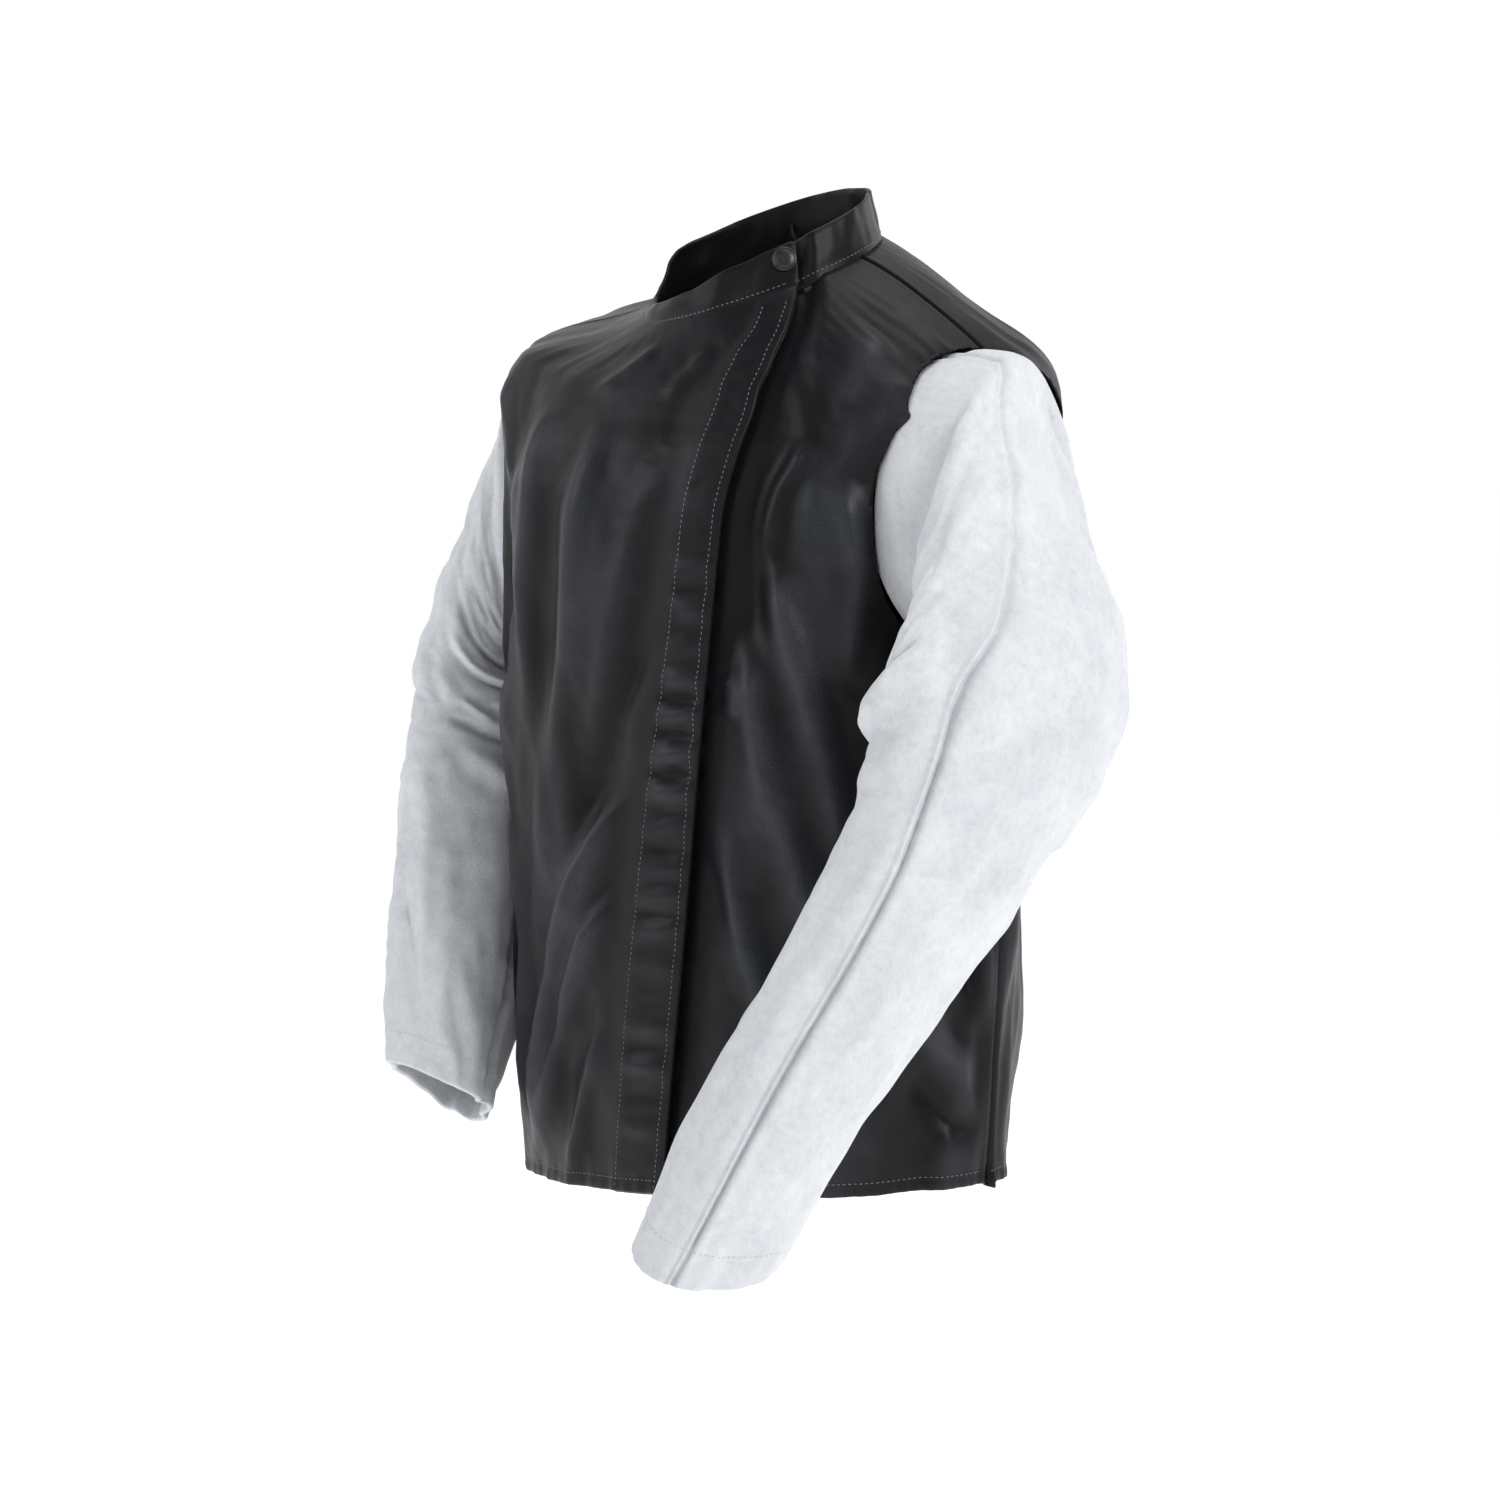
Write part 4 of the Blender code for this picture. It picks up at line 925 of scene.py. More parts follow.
class Stitching:
    """Collects small raised stitches that lie on sheets, and makes one mesh of them."""

    def __init__(self, name, material, length=0.0025, gap=0.0017, radius=0.00034):
        self.name = name
        self.material = material
        self.length = length
        self.gap = gap
        self.radius = radius
        self.corners = []
        self.faces = []

    def row(self, sheet, rows, columns, lift=0.0):
        """A line of stitches along fractional rows and columns of a sheet."""
        grid, normals = sheet.points, sheet.normals()
        line = sheet.sample(grid, np.asarray(rows, float), np.asarray(columns, float))
        out = sheet.sample(normals, np.asarray(rows, float), np.asarray(columns, float))
        steps = np.linalg.norm(np.diff(line, axis=0), axis=1)
        along = np.concatenate(((0.0,), np.cumsum(steps)))
        pitch = self.length + self.gap
        for start in np.arange(0.5 * self.gap, along[-1] - pitch, pitch):
            self.stitch(along, line, out, start, lift)

    def stitch(self, along, line, out, start, lift):
        places = start + self.length * np.array((0.0, 0.2, 0.5, 0.8, 1.0))
        heights = self.radius * np.array((-0.9, 0.35, 0.6, 0.35, -0.9)) + lift
        widths = self.radius * np.array((0.45, 1.0, 1.0, 1.0, 0.45))
        points = np.stack([np.interp(places, along, line[:, k]) for k in range(3)], 1)
        normal = np.stack([np.interp(places, along, out[:, k]) for k in range(3)], 1)
        normal /= np.linalg.norm(normal, axis=1, keepdims=True)
        tangent = points[-1] - points[0]
        tangent /= max(np.linalg.norm(tangent), 1e-9)
        aside = np.cross(normal, tangent)
        base = len(self.corners)
        for k in range(5):
            centre = points[k] + normal[k] * heights[k]
            for turn in np.radians((0.0, 72.0, 144.0, 216.0, 288.0)):
                ring = math.cos(turn) * normal[k] + math.sin(turn) * aside[k]
                self.corners.append(centre + widths[k] * ring)
        for k in range(4):
            for j in range(5):
                a, b = base + 5 * k + j, base + 5 * k + (j + 1) % 5
                self.faces.append((a, b, b + 5, a + 5))
        self.faces.append(tuple(base + j for j in range(4, -1, -1)))
        self.faces.append(tuple(base + 20 + j for j in range(5)))

    def make(self):
        mesh = bpy.data.meshes.new(self.name)
        mesh.from_pydata([tuple(p) for p in self.corners], [], self.faces)
        mesh.materials.append(self.material)
        mesh.shade_smooth()
        obj = bpy.data.objects.new(self.name, mesh)
        bpy.context.scene.collection.objects.link(obj)
        return obj


# ---------------------------------------------------------------- materials


class Look:
    """A node material with the few helpers that the looks below share."""

    def __init__(self, name, colour, roughness, metallic=0.0):
        self.material = bpy.data.materials.new(name)
        self.material.use_nodes = True
        self.material.diffuse_color = (*colour, 1.0)
        self.tree = self.material.node_tree
        self.shader = self.tree.nodes["Principled BSDF"]
        self.shader.inputs["Base Color"].default_value = (*colour, 1.0)
        self.shader.inputs["Roughness"].default_value = roughness
        self.shader.inputs["Metallic"].default_value = metallic
        self.bump_from = None

    def node(self, kind, **inputs):
        node = self.tree.nodes.new(kind)
        for name, value in inputs.items():
            socket = node.inputs[name.replace("_", " ")]
            if isinstance(value, bpy.types.NodeSocket):
                self.tree.links.new(value, socket)
            else:
                socket.default_value = value
        return node

    def place(self):
        return self.node("ShaderNodeTexCoord").outputs["Object"]

    def flat(self, scale=(1.0, 1.0, 1.0), turn=0.0):
        """The sheet's own map in metres, scaled and turned."""
        source = self.tree.nodes.new("ShaderNodeUVMap")
        source.uv_map = "metres"
        mapping = self.node("ShaderNodeMapping", Vector=source.outputs["UV"])
        mapping.inputs["Scale"].default_value = scale
        mapping.inputs["Rotation"].default_value = (0.0, 0.0, turn)
        return mapping.outputs["Vector"]

    def noise(self, vector, scale, detail=4.0, rough=0.55, distortion=0.0):
        node = self.node("ShaderNodeTexNoise", Vector=vector, Scale=scale, Detail=detail, Roughness=rough)
        node.inputs["Distortion"].default_value = distortion
        return node.outputs["Fac"]

    def ramp(self, factor, stops):
        node = self.node("ShaderNodeValToRGB", Fac=factor)
        elements = node.color_ramp.elements
        while len(elements) < len(stops):
            elements.new(0.5)
        for element, (position, colour) in zip(elements, stops):
            element.position = position
            element.color = (*colour, 1.0)
        return node.outputs["Color"]

    def greys(self, factor, *stops):
        return self.ramp(factor, [(position, (grey,) * 3) for position, grey in stops])

    def mix(self, factor, first, second, blend="MIX"):
        node = self.tree.nodes.new("ShaderNodeMix")
        node.data_type = "RGBA"
        node.blend_type = blend
        for socket, value in ((node.inputs[0], factor), (node.inputs[6], first), (node.inputs[7], second)):
            if isinstance(value, bpy.types.NodeSocket):
                self.tree.links.new(value, socket)
            elif socket.type == "RGBA":
                socket.default_value = (*value, 1.0)
            else:
                socket.default_value = value
        return node.outputs[2]

    def maths(self, operation, first, second=0.0):
        node = self.tree.nodes.new("ShaderNodeMath")
        node.operation = operation
        for socket, value in zip(node.inputs, (first, second)):
            if isinstance(value, bpy.types.NodeSocket):
                self.tree.links.new(value, socket)
            else:
                socket.default_value = value
        return node.outputs[0]

    def spread(self, value, low, high, first=0.0, last=1.0):
        """A value's range from first to last, spread over low to high."""
        node = self.node("ShaderNodeMapRange", Value=value)
        for name, number in (("From Min", first), ("From Max", last), ("To Min", low), ("To Max", high)):
            node.inputs[name].default_value = number
        return node.outputs["Result"]

    def bump(self, height, strength, distance):
        node = self.node("ShaderNodeBump", Height=height, Strength=strength, Distance=distance)
        if self.bump_from is not None:
            self.tree.links.new(self.bump_from, node.inputs["Normal"])
        self.bump_from = node.outputs["Normal"]
        self.tree.links.new(self.bump_from, self.shader.inputs["Normal"])

    def colour(self, socket):
        self.tree.links.new(socket, self.shader.inputs["Base Color"])

    def roughness(self, socket):
        self.tree.links.new(socket, self.shader.inputs["Roughness"])

    def sheen(self, weight, roughness, tint):
        self.shader.inputs["Sheen Weight"].default_value = weight
        self.shader.inputs["Sheen Roughness"].default_value = roughness
        self.shader.inputs["Sheen Tint"].default_value = (*tint, 1.0)


# Fold heights in metres over which the cotton's painted fold shade and highlight spread.
RELIEF_RANGE = (-0.0065, 0.0095)


def satin_cotton(name, depth=1.0):
    """Black satin-faced cotton: violet and blue-green soft patches, diagonal weave, slubs and lint, with
    painted shade in the fold valleys and painted highlights on the fold ridges.
    """
    look = Look(name, (0.016, 0.016, 0.020), 0.55)
    place, flat = look.place(), look.flat()

    # A depth below 1 darkens every tone. The collar's copy uses it as painted shade.
    def tint(red, green, blue):
        return (depth * red, depth * green, depth * blue)

    patches = look.noise(place, 13.0, 5.0, 0.6, 0.8)
    blotch = look.noise(place, 46.0, 5.0, 0.65, 0.5)
    cast = look.ramp(
        patches,
        (
            (0.30, tint(0.0040, 0.0056, 0.0070)),
            (0.44, tint(0.0054, 0.0056, 0.0070)),
            (0.56, tint(0.0084, 0.0077, 0.0100)),
            (0.72, tint(0.0064, 0.0058, 0.0082)),
        ),
    )
    tone = look.mix(look.maths("MULTIPLY", blotch, 0.55), cast, tint(0.0105, 0.0107, 0.0125))
    streaks = look.noise(look.flat((1.0, 0.16, 1.0), math.radians(8.0)), 70.0, 4.0, 0.6)
    tone = look.mix(look.maths("MULTIPLY", streaks, 0.35), tone, tint(0.0036, 0.0037, 0.0048))
    threads = look.noise(look.flat((1.0, 0.22, 1.0), math.radians(27.0)), 1500.0, 2.0, 0.7)
    slubs = look.noise(look.flat((1.0, 0.05, 1.0)), 420.0, 2.0, 0.6)
    grain = look.greys(look.noise(flat, 1300.0, 2.0, 0.6), (0.36, 0.35), (0.64, 1.75))
    tone = look.mix(0.75, tone, grain, "MULTIPLY")
    # Painted shade and highlight: the folds' relief darkens the colour in the valleys and lightens it on the
    # ridges.
    fold = look.tree.nodes.new("ShaderNodeAttribute")
    fold.attribute_name = "relief"
    height = look.spread(fold.outputs["Fac"], 0.0, 1.0, *RELIEF_RANGE)
    wear_and_painted_fold_light = look.greys(height, (0.0, 0.08), (0.34, 0.45), (0.52, 1.1), (0.74, 2.5), (1.0, 4.0))
    tone = look.mix(1.0, tone, wear_and_painted_fold_light, "MULTIPLY")
    lint = look.greys(look.noise(flat, 800.0, 1.0, 0.4), (0.77, 0.0), (0.81, 1.0))
    look.colour(look.mix(look.maths("MULTIPLY", lint, 0.03), tone, (0.20, 0.20, 0.22)))
    look.roughness(look.spread(blotch, 0.36, 0.48))
    look.shader.inputs["Specular IOR Level"].default_value = 0.18
    look.sheen(0.015, 0.5, (0.75, 0.80, 1.0))
    look.bump(threads, 0.40, 0.00014)
    look.bump(slubs, 0.22, 0.00015)
    look.bump(look.noise(place, 95.0, 4.0, 0.6), 0.35, 0.0007)
    return look.material


def suede(name, dark=(0.43, 0.455, 0.485), light=(0.62, 0.64, 0.665)):
    """Split cowhide: a pale grey nap, cloudy where it lies different ways, with fine pores and scuffs."""
    look = Look(name, (0.57, 0.59, 0.62), 0.92)
    place = look.place()
    clouds = look.noise(place, 11.0, 5.0, 0.62, 0.6)
    patches = look.noise(place, 38.0, 5.0, 0.65, 0.9)
    nap = look.noise(place, 480.0, 4.0, 0.75)
    fibres = look.noise(place, 1600.0, 3.0, 0.7)
    tone = look.mix(look.greys(clouds, (0.32, 0.0), (0.68, 1.0)), dark, light)
    bands = ((0.30, (0.48, 0.50, 0.54)), (0.55, (0.62, 0.635, 0.66)), (0.72, (0.76, 0.765, 0.775)))
    streak = look.ramp(patches, bands)
    tone = look.mix(0.42, tone, streak)
    tone = look.mix(look.maths("MULTIPLY", nap, 0.42), tone, (0.71, 0.72, 0.74))
    pores = look.greys(look.noise(place, 700.0, 2.0, 0.5), (0.30, 0.0), (0.38, 1.0))
    tone = look.mix(0.14, tone, look.mix(pores, (0.38, 0.39, 0.42), (0.75, 0.76, 0.78)))
    warm = look.greys(look.noise(place, 23.0, 3.0), (0.60, 0.0), (0.78, 1.0))
    scuffs = look.noise(place, 150.0, 6.0, 0.72, 0.3)
    rubbed = ((0.32, (0.90, 0.91, 0.925)), (0.50, (1.0, 1.0, 1.0)), (0.68, (1.07, 1.07, 1.065)))
    mottle = look.ramp(scuffs, rubbed)
    tone = look.mix(0.9, tone, mottle, "MULTIPLY")
    look.colour(look.mix(look.maths("MULTIPLY", warm, 0.22), tone, (0.72, 0.69, 0.68)))
    look.shader.inputs["Specular IOR Level"].default_value = 0.18
    look.sheen(0.35, 0.55, (0.95, 0.96, 1.0))
    look.bump(patches, 0.35, 0.0010)
    look.bump(scuffs, 0.45, 0.0008)
    look.bump(nap, 0.70, 0.0008)
    look.bump(fibres, 0.45, 0.0003)
    return look.material


def thread(name, colour):
    look = Look(name, colour, 0.62)
    place = look.place()
    twist = look.noise(place, 1400.0, 2.0, 0.6)
    look.colour(look.mix(twist, tuple(0.65 * c for c in colour), tuple(1.15 * c for c in colour)))
    look.bump(twist, 0.5, 0.0002)
    look.sheen(0.2, 0.4, (1.0, 1.0, 1.0))
    return look.material


def metal(name, dark, light, roughness, wear_and_painted_fold_light):
    """Plated or lacquered metal, with brighter rubbed spots and fine scratches."""
    look = Look(name, light, roughness, 0.9)
    place = look.place()
    mottle = look.noise(place, 260.0, 4.0, 0.6)
    tone = look.mix(mottle, dark, light)
    rubbed = look.greys(look.noise(place, 620.0, 3.0, 0.7), (0.62, 0.0), (0.72, 1.0))
    look.colour(look.mix(look.maths("MULTIPLY", rubbed, 0.5), tone, wear_and_painted_fold_light))
    look.roughness(look.spread(mottle, roughness - 0.08, roughness + 0.14))
    look.bump(look.noise(place, 900.0, 3.0, 0.6), 0.15, 0.0002)
    return look.material


COTTON = satin_cotton("body_cotton")
# The collar is the body's cotton painted darker, at 0.75 of its tones: painted shade. The lining copy has 0.6
# of them.
SHADED_COLLAR_COTTON = satin_cotton("collar_cotton", 0.75)
LINING = satin_cotton("lining_cotton", 0.6)
SUEDE = suede("split_leather")
BODY_THREAD = thread("body_thread", (0.17, 0.17, 0.19))
SLEEVE_THREAD = thread("sleeve_thread", (0.52, 0.53, 0.55))
DARK_METAL = metal(
    "lacquered_metal", (0.030, 0.030, 0.031), (0.060, 0.060, 0.062), 0.36, (0.16, 0.16, 0.16)
)
NICKEL = metal("nickel_plate", (0.40, 0.39, 0.37), (0.56, 0.55, 0.52), 0.30, (0.66, 0.65, 0.62))

# ---------------------------------------------------------------- the fronts' blend zones, which nothing applies, and placements baked into meshes

RIGHT_BLEND = (Vector((1.0, 0.0, -0.0803)), -0.145, -0.065)
LEFT_BLEND = (Vector((-0.8, -0.6, 0.0)), -0.085, -0.030)


def bend_front(obj):
    """Bakes a piece's placement into its mesh."""
    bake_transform(obj)


def bend_elbow(obj, sections, side):
    ends = [[sleeve_point(sections, at, turn, side) for turn in (0.0, math.pi)] for at in (6.6, 8.2)]
    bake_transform(obj)


# ---------------------------------------------------------------- the body

back, back_sheet = make_back()
right_front, right_sheet = make_right_front()
left_front, left_sheet = make_left_front()


def armhole_cutter(label, sections, side):
    """A smooth prism with the outline of the sleeve's first section."""
    _, top, _, bottom, y, half = sections[0]
    mesh = bpy.data.meshes.new(label + "_armhole")
    shape = bmesh.new()
    start = sections[0][0] - 0.03
    bmesh.ops.create_cone(shape, cap_ends=True, segments=120, radius1=1.0, radius2=1.0, depth=0.36 - start)
    size = Matrix.Diagonal(((top - bottom) / 2 + 0.0012, half + 0.0012, 1.0, 1.0))
    place = Matrix.Translation(Vector(DATUM) + Vector((side * (0.36 + start) / 2, y, (top + bottom) / 2)))
    shape.transform(place @ Matrix.Rotation(math.radians(90.0), 4, "Y") @ size)
    shape.to_mesh(mesh)
    shape.free()
    obj = bpy.data.objects.new(label + "_armhole", mesh)
    bpy.context.scene.collection.objects.link(obj)
    return obj


left_hole = armhole_cutter("left", LEFT_SLEEVE, 1.0)
right_hole = armhole_cutter("right", RIGHT_SLEEVE, -1.0)
for obj, holes in ((back, (left_hole, right_hole)), (right_front, (right_hole,)), (left_front, (left_hole,))):
    for hole in holes:
        cut(obj, hole)
    bake(obj)
for hole in (left_hole, right_hole):
    bpy.data.objects.remove(hole)

placket_facing = make_strip(
    "placket_back", inner_edge, lambda h: free_edge(h) - 0.012, 14, 0.001, 0.686, -0.0035, 0.0014
)
HEM_STRIP = (0.0012, 0.026)
hem_back = make_strip("back_hem_turn", 0.0, math.pi, 100, *HEM_STRIP, -0.0022, CLOTH)
hem_right = make_strip(
    "right_hem_turn", -math.pi + 0.001, lambda h: inner_edge(h) - 0.02, 60, *HEM_STRIP, -0.0022, CLOTH
)
hem_left = make_strip(
    "left_hem_turn", lambda h: free_edge(h) + 0.03, -0.001, 60, *HEM_STRIP,
    lambda a, h: underlap_rise(a, h) - 0.0022, CLOTH,
)

SPLIT_RIGHT, SPLIT_LEFT = -2.62, math.radians(36.0)
free_end, underlap_end = float(free_edge(NECK_HEIGHT)), float(underlap_edge(NECK_HEIGHT))
collar_back, collar_back_sheet = make_collar("stand_collar_back", SPLIT_LEFT, 2 * math.pi + SPLIT_RIGHT, 84)
collar_right, collar_right_sheet = make_collar("stand_collar_right", SPLIT_RIGHT, free_end, 46, None, "last")
collar_left, collar_left_sheet = make_collar(
    "stand_collar_left", underlap_end, SPLIT_LEFT, 46, collar_underlap_rise, "first"
)

left_sleeve, left_sleeve_sheet = make_sleeve(
    "left", LEFT_SLEEVE, 1.0, LEFT_SEAM_TURNS, LEFT_SLEEVE_FOLDS, 100
)
right_sleeve, right_sleeve_sheet = make_sleeve(
    "right", RIGHT_SLEEVE, -1.0, RIGHT_SEAM_TURNS, RIGHT_SLEEVE_FOLDS, 200
)

# ---------------------------------------------------------------- the collar's snap


def turned_piece(name, profile, frame_matrix, material, segments=56):
    """A round piece from (radius, height) points in millimetres along the frame's Z axis."""
    mesh = bpy.data.meshes.new(name)
    corners, faces = [], []
    for radius, height in profile:
        for k in range(segments):
            turn = 2.0 * math.pi * k / segments
            x, y = radius * math.cos(turn) / 1000.0, radius * math.sin(turn) / 1000.0
            corners.append(frame_matrix @ Vector((x, y, height / 1000.0)))
    for ring in range(len(profile) - 1):
        for k in range(segments):
            a, b = ring * segments + k, ring * segments + (k + 1) % segments
            faces.append((a, b, b + segments, a + segments))
    faces.append(tuple(reversed(range(segments))))
    faces.append(tuple((len(profile) - 1) * segments + k for k in range(segments)))
    mesh.from_pydata(corners, [], faces)
    mesh.materials.append(material)
    mesh.shade_smooth()
    mesh.set_sharp_from_angle(angle=math.radians(42.0))
    obj = bpy.data.objects.new(name, mesh)
    bpy.context.scene.collection.objects.link(obj)
    return obj


snap_angle = math.radians(COLLAR_SNAP_ANGLE)
snap_normal = Vector(outward(collar_point, np.asarray(snap_angle), np.asarray(COLLAR_SNAP_RISE)))
snap_place = Vector(collar_point(snap_angle, COLLAR_SNAP_RISE) + DATUM)
snap_frame = Matrix.Translation(snap_place) @ snap_normal.to_track_quat("Z", "Y").to_matrix().to_4x4()
collar_snap = turned_piece(
    "collar_snap",
    ((1.5, -5.0), (1.5, 0.35), (8.6, 0.35), (9.4, 0.5), (9.6, 1.0), (9.45, 1.6), (8.9, 2.0), (8.3, 2.15),
     (7.7, 2.12), (7.4, 1.95), (7.1, 2.05), (6.4, 2.45), (5.0, 2.85), (3.2, 3.0), (1.2, 2.92), (0.3, 2.9)),
    snap_frame,
    DARK_METAL,
)

# ---------------------------------------------------------------- stitching


rows = hem_rows()
OUTER_COLUMNS = slice(2, 83)


def edge_row(sheet, edge, offset, first_height, last_height):
    """Fractional rows and columns of a line that keeps its distance from an edge of the right front."""
    plain = np.nonzero(rows[:, 1] > -1e-9)[0]
    wanted = np.linspace(first_height, last_height, 260)
    row = np.interp(wanted, rows[plain, 0], plain)
    angles = sheet.across / BODY_RADIUS
    target = edge(wanted) + offset / arc_speed(edge(wanted), wanted)
    column = []
    for at, angle in zip(row, target):
        low = int(at)
        high = min(low + 1, len(angles) - 1)
        mixed = angles[low] * (1 - (at - low)) + angles[high] * (at - low)
        column.append(np.interp(angle, mixed[OUTER_COLUMNS], np.arange(len(mixed))[OUTER_COLUMNS]))
    return row, np.array(column)


def stitch_line(name, sheet, row, first, last, count, *sizes):
    """One line of stitches along a row of a sheet."""
    line = Stitching(name, *sizes)
    line.row(sheet, np.full(count, row), np.linspace(first, last, count))
    return line.make()


def hem_stitching(label, sheet, first, last):
    row = np.interp(0.0105, rows[5:, 0], np.arange(5, len(rows)))
    return stitch_line(f"{label}_hem_stitching", sheet, row, first, last, 300, BODY_THREAD)


def collar_stitching(label, sheet, before, after):
    last = sheet.points.shape[1] - 1 - after
    return stitch_line(f"collar_{label}_stitching", sheet, 2.0, before, last, 240, BODY_THREAD)


def sleeve_stitching(label, sheet):
    """One line round the cuff. The long seams are turned inside, so they show no thread."""
    row = len(sheet.points) - CUFF_ROWS - 1 - 0.018 / GRID
    last = sheet.points.shape[1] - 1e-3
    sizes = (SLEEVE_THREAD, 0.0030, 0.0018, 0.00030)
    return stitch_line(f"{label}_sleeve_stitching", sheet, row, 0.0, last, 400, *sizes)


right_closure = Stitching("placket_stitching", BODY_THREAD)
for edge, offset, low, high in ((free_edge, -0.0070, 0.004, 0.688), (inner_edge, 0.003, 0.004, 0.690)):
    right_closure.row(right_sheet, *edge_row(right_sheet, edge, offset, low, high))
placket_stitching = right_closure.make()
right_hem_stitching = hem_stitching("right", right_sheet, 2, 82)
left_hem_stitching = hem_stitching("left", left_sheet, 16, 104)
back_hem_stitching = hem_stitching("back", back_sheet, 2, 139)
collar_back_stitching = collar_stitching("back", collar_back_sheet, 0, 0)
collar_right_stitching = collar_stitching("right", collar_right_sheet, 0, 4)
collar_left_stitching = collar_stitching("left", collar_left_sheet, 4, 0)
left_sleeve_stitching = sleeve_stitching("left", left_sleeve_sheet)
right_sleeve_stitching = sleeve_stitching("right", right_sleeve_sheet)

# ---------------------------------------------------------------- pieces attached to bodies or baked in place, and the parts they replace hidden

LEFT_FRONT, RIGHT_FRONT = ("left_front", LEFT_BLEND), ("right_front", RIGHT_BLEND)
for obj, (body, zone), slot, *replaced in (
    (back, ("torso", None), "body_cotton", "back_panel"),
    (hem_back, ("torso", None), "lining_cotton", "back_hem_facing"),
    (right_front, RIGHT_FRONT, "body_cotton",
     "right_front_panel", "right_front_fold", "right_front_flap", "front_placket"),
    (hem_right, RIGHT_FRONT, "lining_cotton", "right_hem_facing"),
    (left_front, LEFT_FRONT, "body_cotton",
     "left_front_panel", "left_front_fold", "left_front_flap", "underlap_facing"),
    (hem_left, LEFT_FRONT, "lining_cotton", "left_hem_facing"),
    (placket_facing, ("right_front", None), "lining_cotton", "placket_facing"),
    (collar_back, ("torso", None), "body_cotton", "collar_back"),
    (collar_right, RIGHT_FRONT, "body_cotton", "collar_right", "collar_right_fold"),
    (collar_left, LEFT_FRONT, "body_cotton", "collar_left", "collar_left_fold"),
    (collar_snap, ("right_front", None), "snap_dark", "collar_snap_cap"),
    (placket_stitching, ("right_front", None), "body_cotton"),
    (right_hem_stitching, RIGHT_FRONT, "body_cotton"),
    (left_hem_stitching, LEFT_FRONT, "body_cotton"),
    (back_hem_stitching, ("torso", None), "body_cotton"),
    (collar_back_stitching, ("torso", None), "body_cotton"),
    (collar_right_stitching, RIGHT_FRONT, "body_cotton"),
    (collar_left_stitching, LEFT_FRONT, "body_cotton"),
):
    if zone is None:
        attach(obj, body)
    else:
        bend_front(obj)
    if replaced:
        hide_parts(*replaced)

for label, sections, side, sleeve, stitching in (
    ("left", LEFT_SLEEVE, 1.0, left_sleeve, left_sleeve_stitching),
    ("right", RIGHT_SLEEVE, -1.0, right_sleeve, right_sleeve_stitching),
):
    lengths = ("sleeve_upper", "sleeve_elbow", "forearm", "cuff_facing")
    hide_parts(*[f"{label}_{length}_{panel}" for length in lengths for panel in ("front", "back")])
    for obj in (sleeve, stitching):
        bend_elbow(obj, sections, side)

for name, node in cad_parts.items():
    if "_snap_" in name:
        node.data.materials.clear()
        node.data.materials.append(DARK_METAL if name == "collar_snap_cap" else NICKEL)
    elif name == "hanger_loop":
        node.data.materials.clear()
        node.data.materials.append(LINING)

# ---------------------------------------------------------------- floor, lights and camera


def area_light(name, place, target, size, power, colour=(1.0, 1.0, 1.0)):
    data = bpy.data.lights.new(name, "AREA")
    data.shape = "RECTANGLE"
    data.size, data.size_y = size
    data.energy = power
    data.color = colour
    obj = bpy.data.objects.new(name, data)
    obj.location = place
    obj.rotation_euler = (Vector(target) - Vector(place)).to_track_quat("-Z", "Y").to_euler()
    bpy.context.scene.collection.objects.link(obj)
    return obj


low, high = cad_box
middle = (Vector(low) + Vector(high)) / 2.0
floor_mesh = bpy.data.meshes.new("floor")
reach = 48.0
floor_level = low.z - 0.45
corners = [(x * reach, y * reach, floor_level) for x, y in ((-1, -1), (1, -1), (1, 1), (-1, 1))]
floor_mesh.from_pydata(corners, [], [(0, 1, 2, 3)])
floor = bpy.data.objects.new("floor", floor_mesh)
bpy.context.scene.collection.objects.link(floor)
floor_look = Look("pale_floor", (0.93, 0.93, 0.93), 0.9)
clouds = floor_look.noise(floor_look.place(), 3.0)
floor_look.colour(floor_look.mix(clouds, (0.92, 0.92, 0.92), (0.94, 0.94, 0.94)))
floor_look.shader.inputs["Emission Color"].default_value = (1.0, 1.0, 1.0, 1.0)
floor_look.shader.inputs["Emission Strength"].default_value = 0.56
floor_mesh.materials.append(floor_look.material)

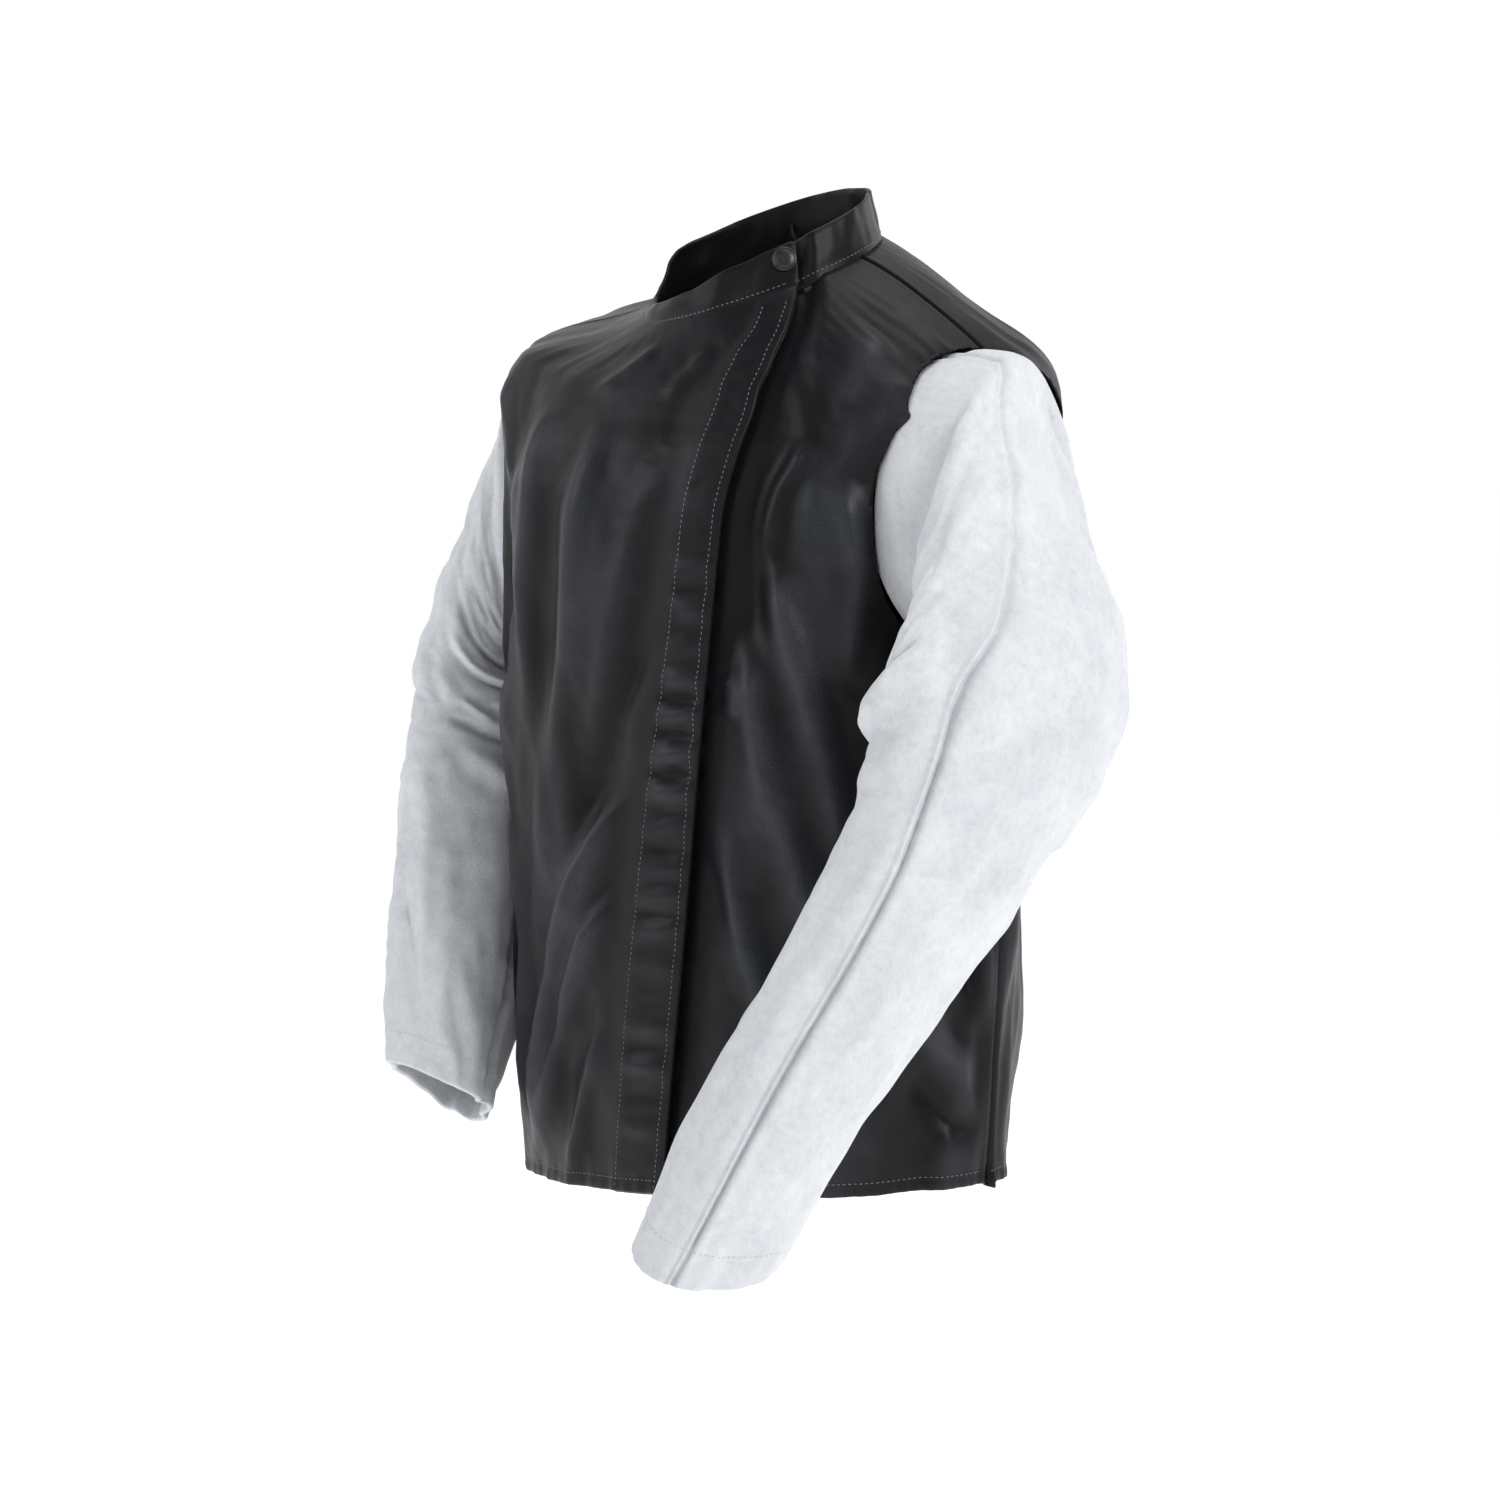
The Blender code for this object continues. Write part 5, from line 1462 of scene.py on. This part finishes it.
world = bpy.data.worlds.new("studio")
world.use_nodes = True
sky = world.node_tree
direction = sky.nodes.new("ShaderNodeTexCoord")
towards = sky.nodes.new("ShaderNodeVectorMath")
towards.operation = "DOT_PRODUCT"
towards.inputs[1].default_value = (-0.64, 0.77, 0.0)
sky.links.new(direction.outputs["Generated"], towards.inputs[0])
glow = sky.nodes.new("ShaderNodeMapRange")
glow.interpolation_type = "SMOOTHSTEP"
for socket, value in (("From Min", 0.10), ("From Max", 0.50), ("To Min", 0.18), ("To Max", 1.02)):
    glow.inputs[socket].default_value = value
sky.links.new(towards.outputs["Value"], glow.inputs["Value"])
sky.links.new(glow.outputs["Result"], sky.nodes["Background"].inputs["Strength"])
sky.nodes["Background"].inputs["Color"].default_value = (1.0, 1.0, 1.0, 1.0)
bpy.context.scene.world = world
bpy.context.scene.view_settings.view_transform = "Standard"

area_light("key", middle + Vector((2.68, -0.42, 1.7)), middle, (1.0, 1.6), 62.0)
area_light("fill", middle + Vector((-2.3, -1.9, 1.1)), middle, (0.8, 1.5), 22.0, (0.94, 0.97, 1.0))
area_light("strip", middle + Vector((0.15, -2.6, 1.5)), middle, (0.32, 1.3), 9.5)
area_light("top", middle + Vector((0.2, 0.3, 2.6)), middle, (1.4, 1.4), 18.0)
area_light("rim", middle + Vector((0.8, 2.6, 1.2)), middle, (1.4, 1.4), 10.0)

AZIMUTH, ELEVATION, DISTANCE = 40.0, 5.0, 3.0
target = Vector(DATUM) + Vector((-0.0077, -0.0064, 0.324))
azimuth, elevation = math.radians(AZIMUTH), math.radians(ELEVATION)
level = math.cos(elevation)
back_way = Vector((math.sin(azimuth) * level, -math.cos(azimuth) * level, math.sin(elevation)))
camera_data = bpy.data.cameras.new("camera")
camera_data.sensor_width = 36.0
camera_data.lens = 91.7
camera_data.clip_start, camera_data.clip_end = 0.05, 120.0
camera = bpy.data.objects.new("camera", camera_data)
camera.location = target + back_way * DISTANCE
camera.rotation_mode = "QUATERNION"
camera.rotation_quaternion = (-back_way).to_track_quat("-Z", "Y")
bpy.context.scene.collection.objects.link(camera)
bpy.context.scene.camera = camera

bpy.context.view_layer.update()
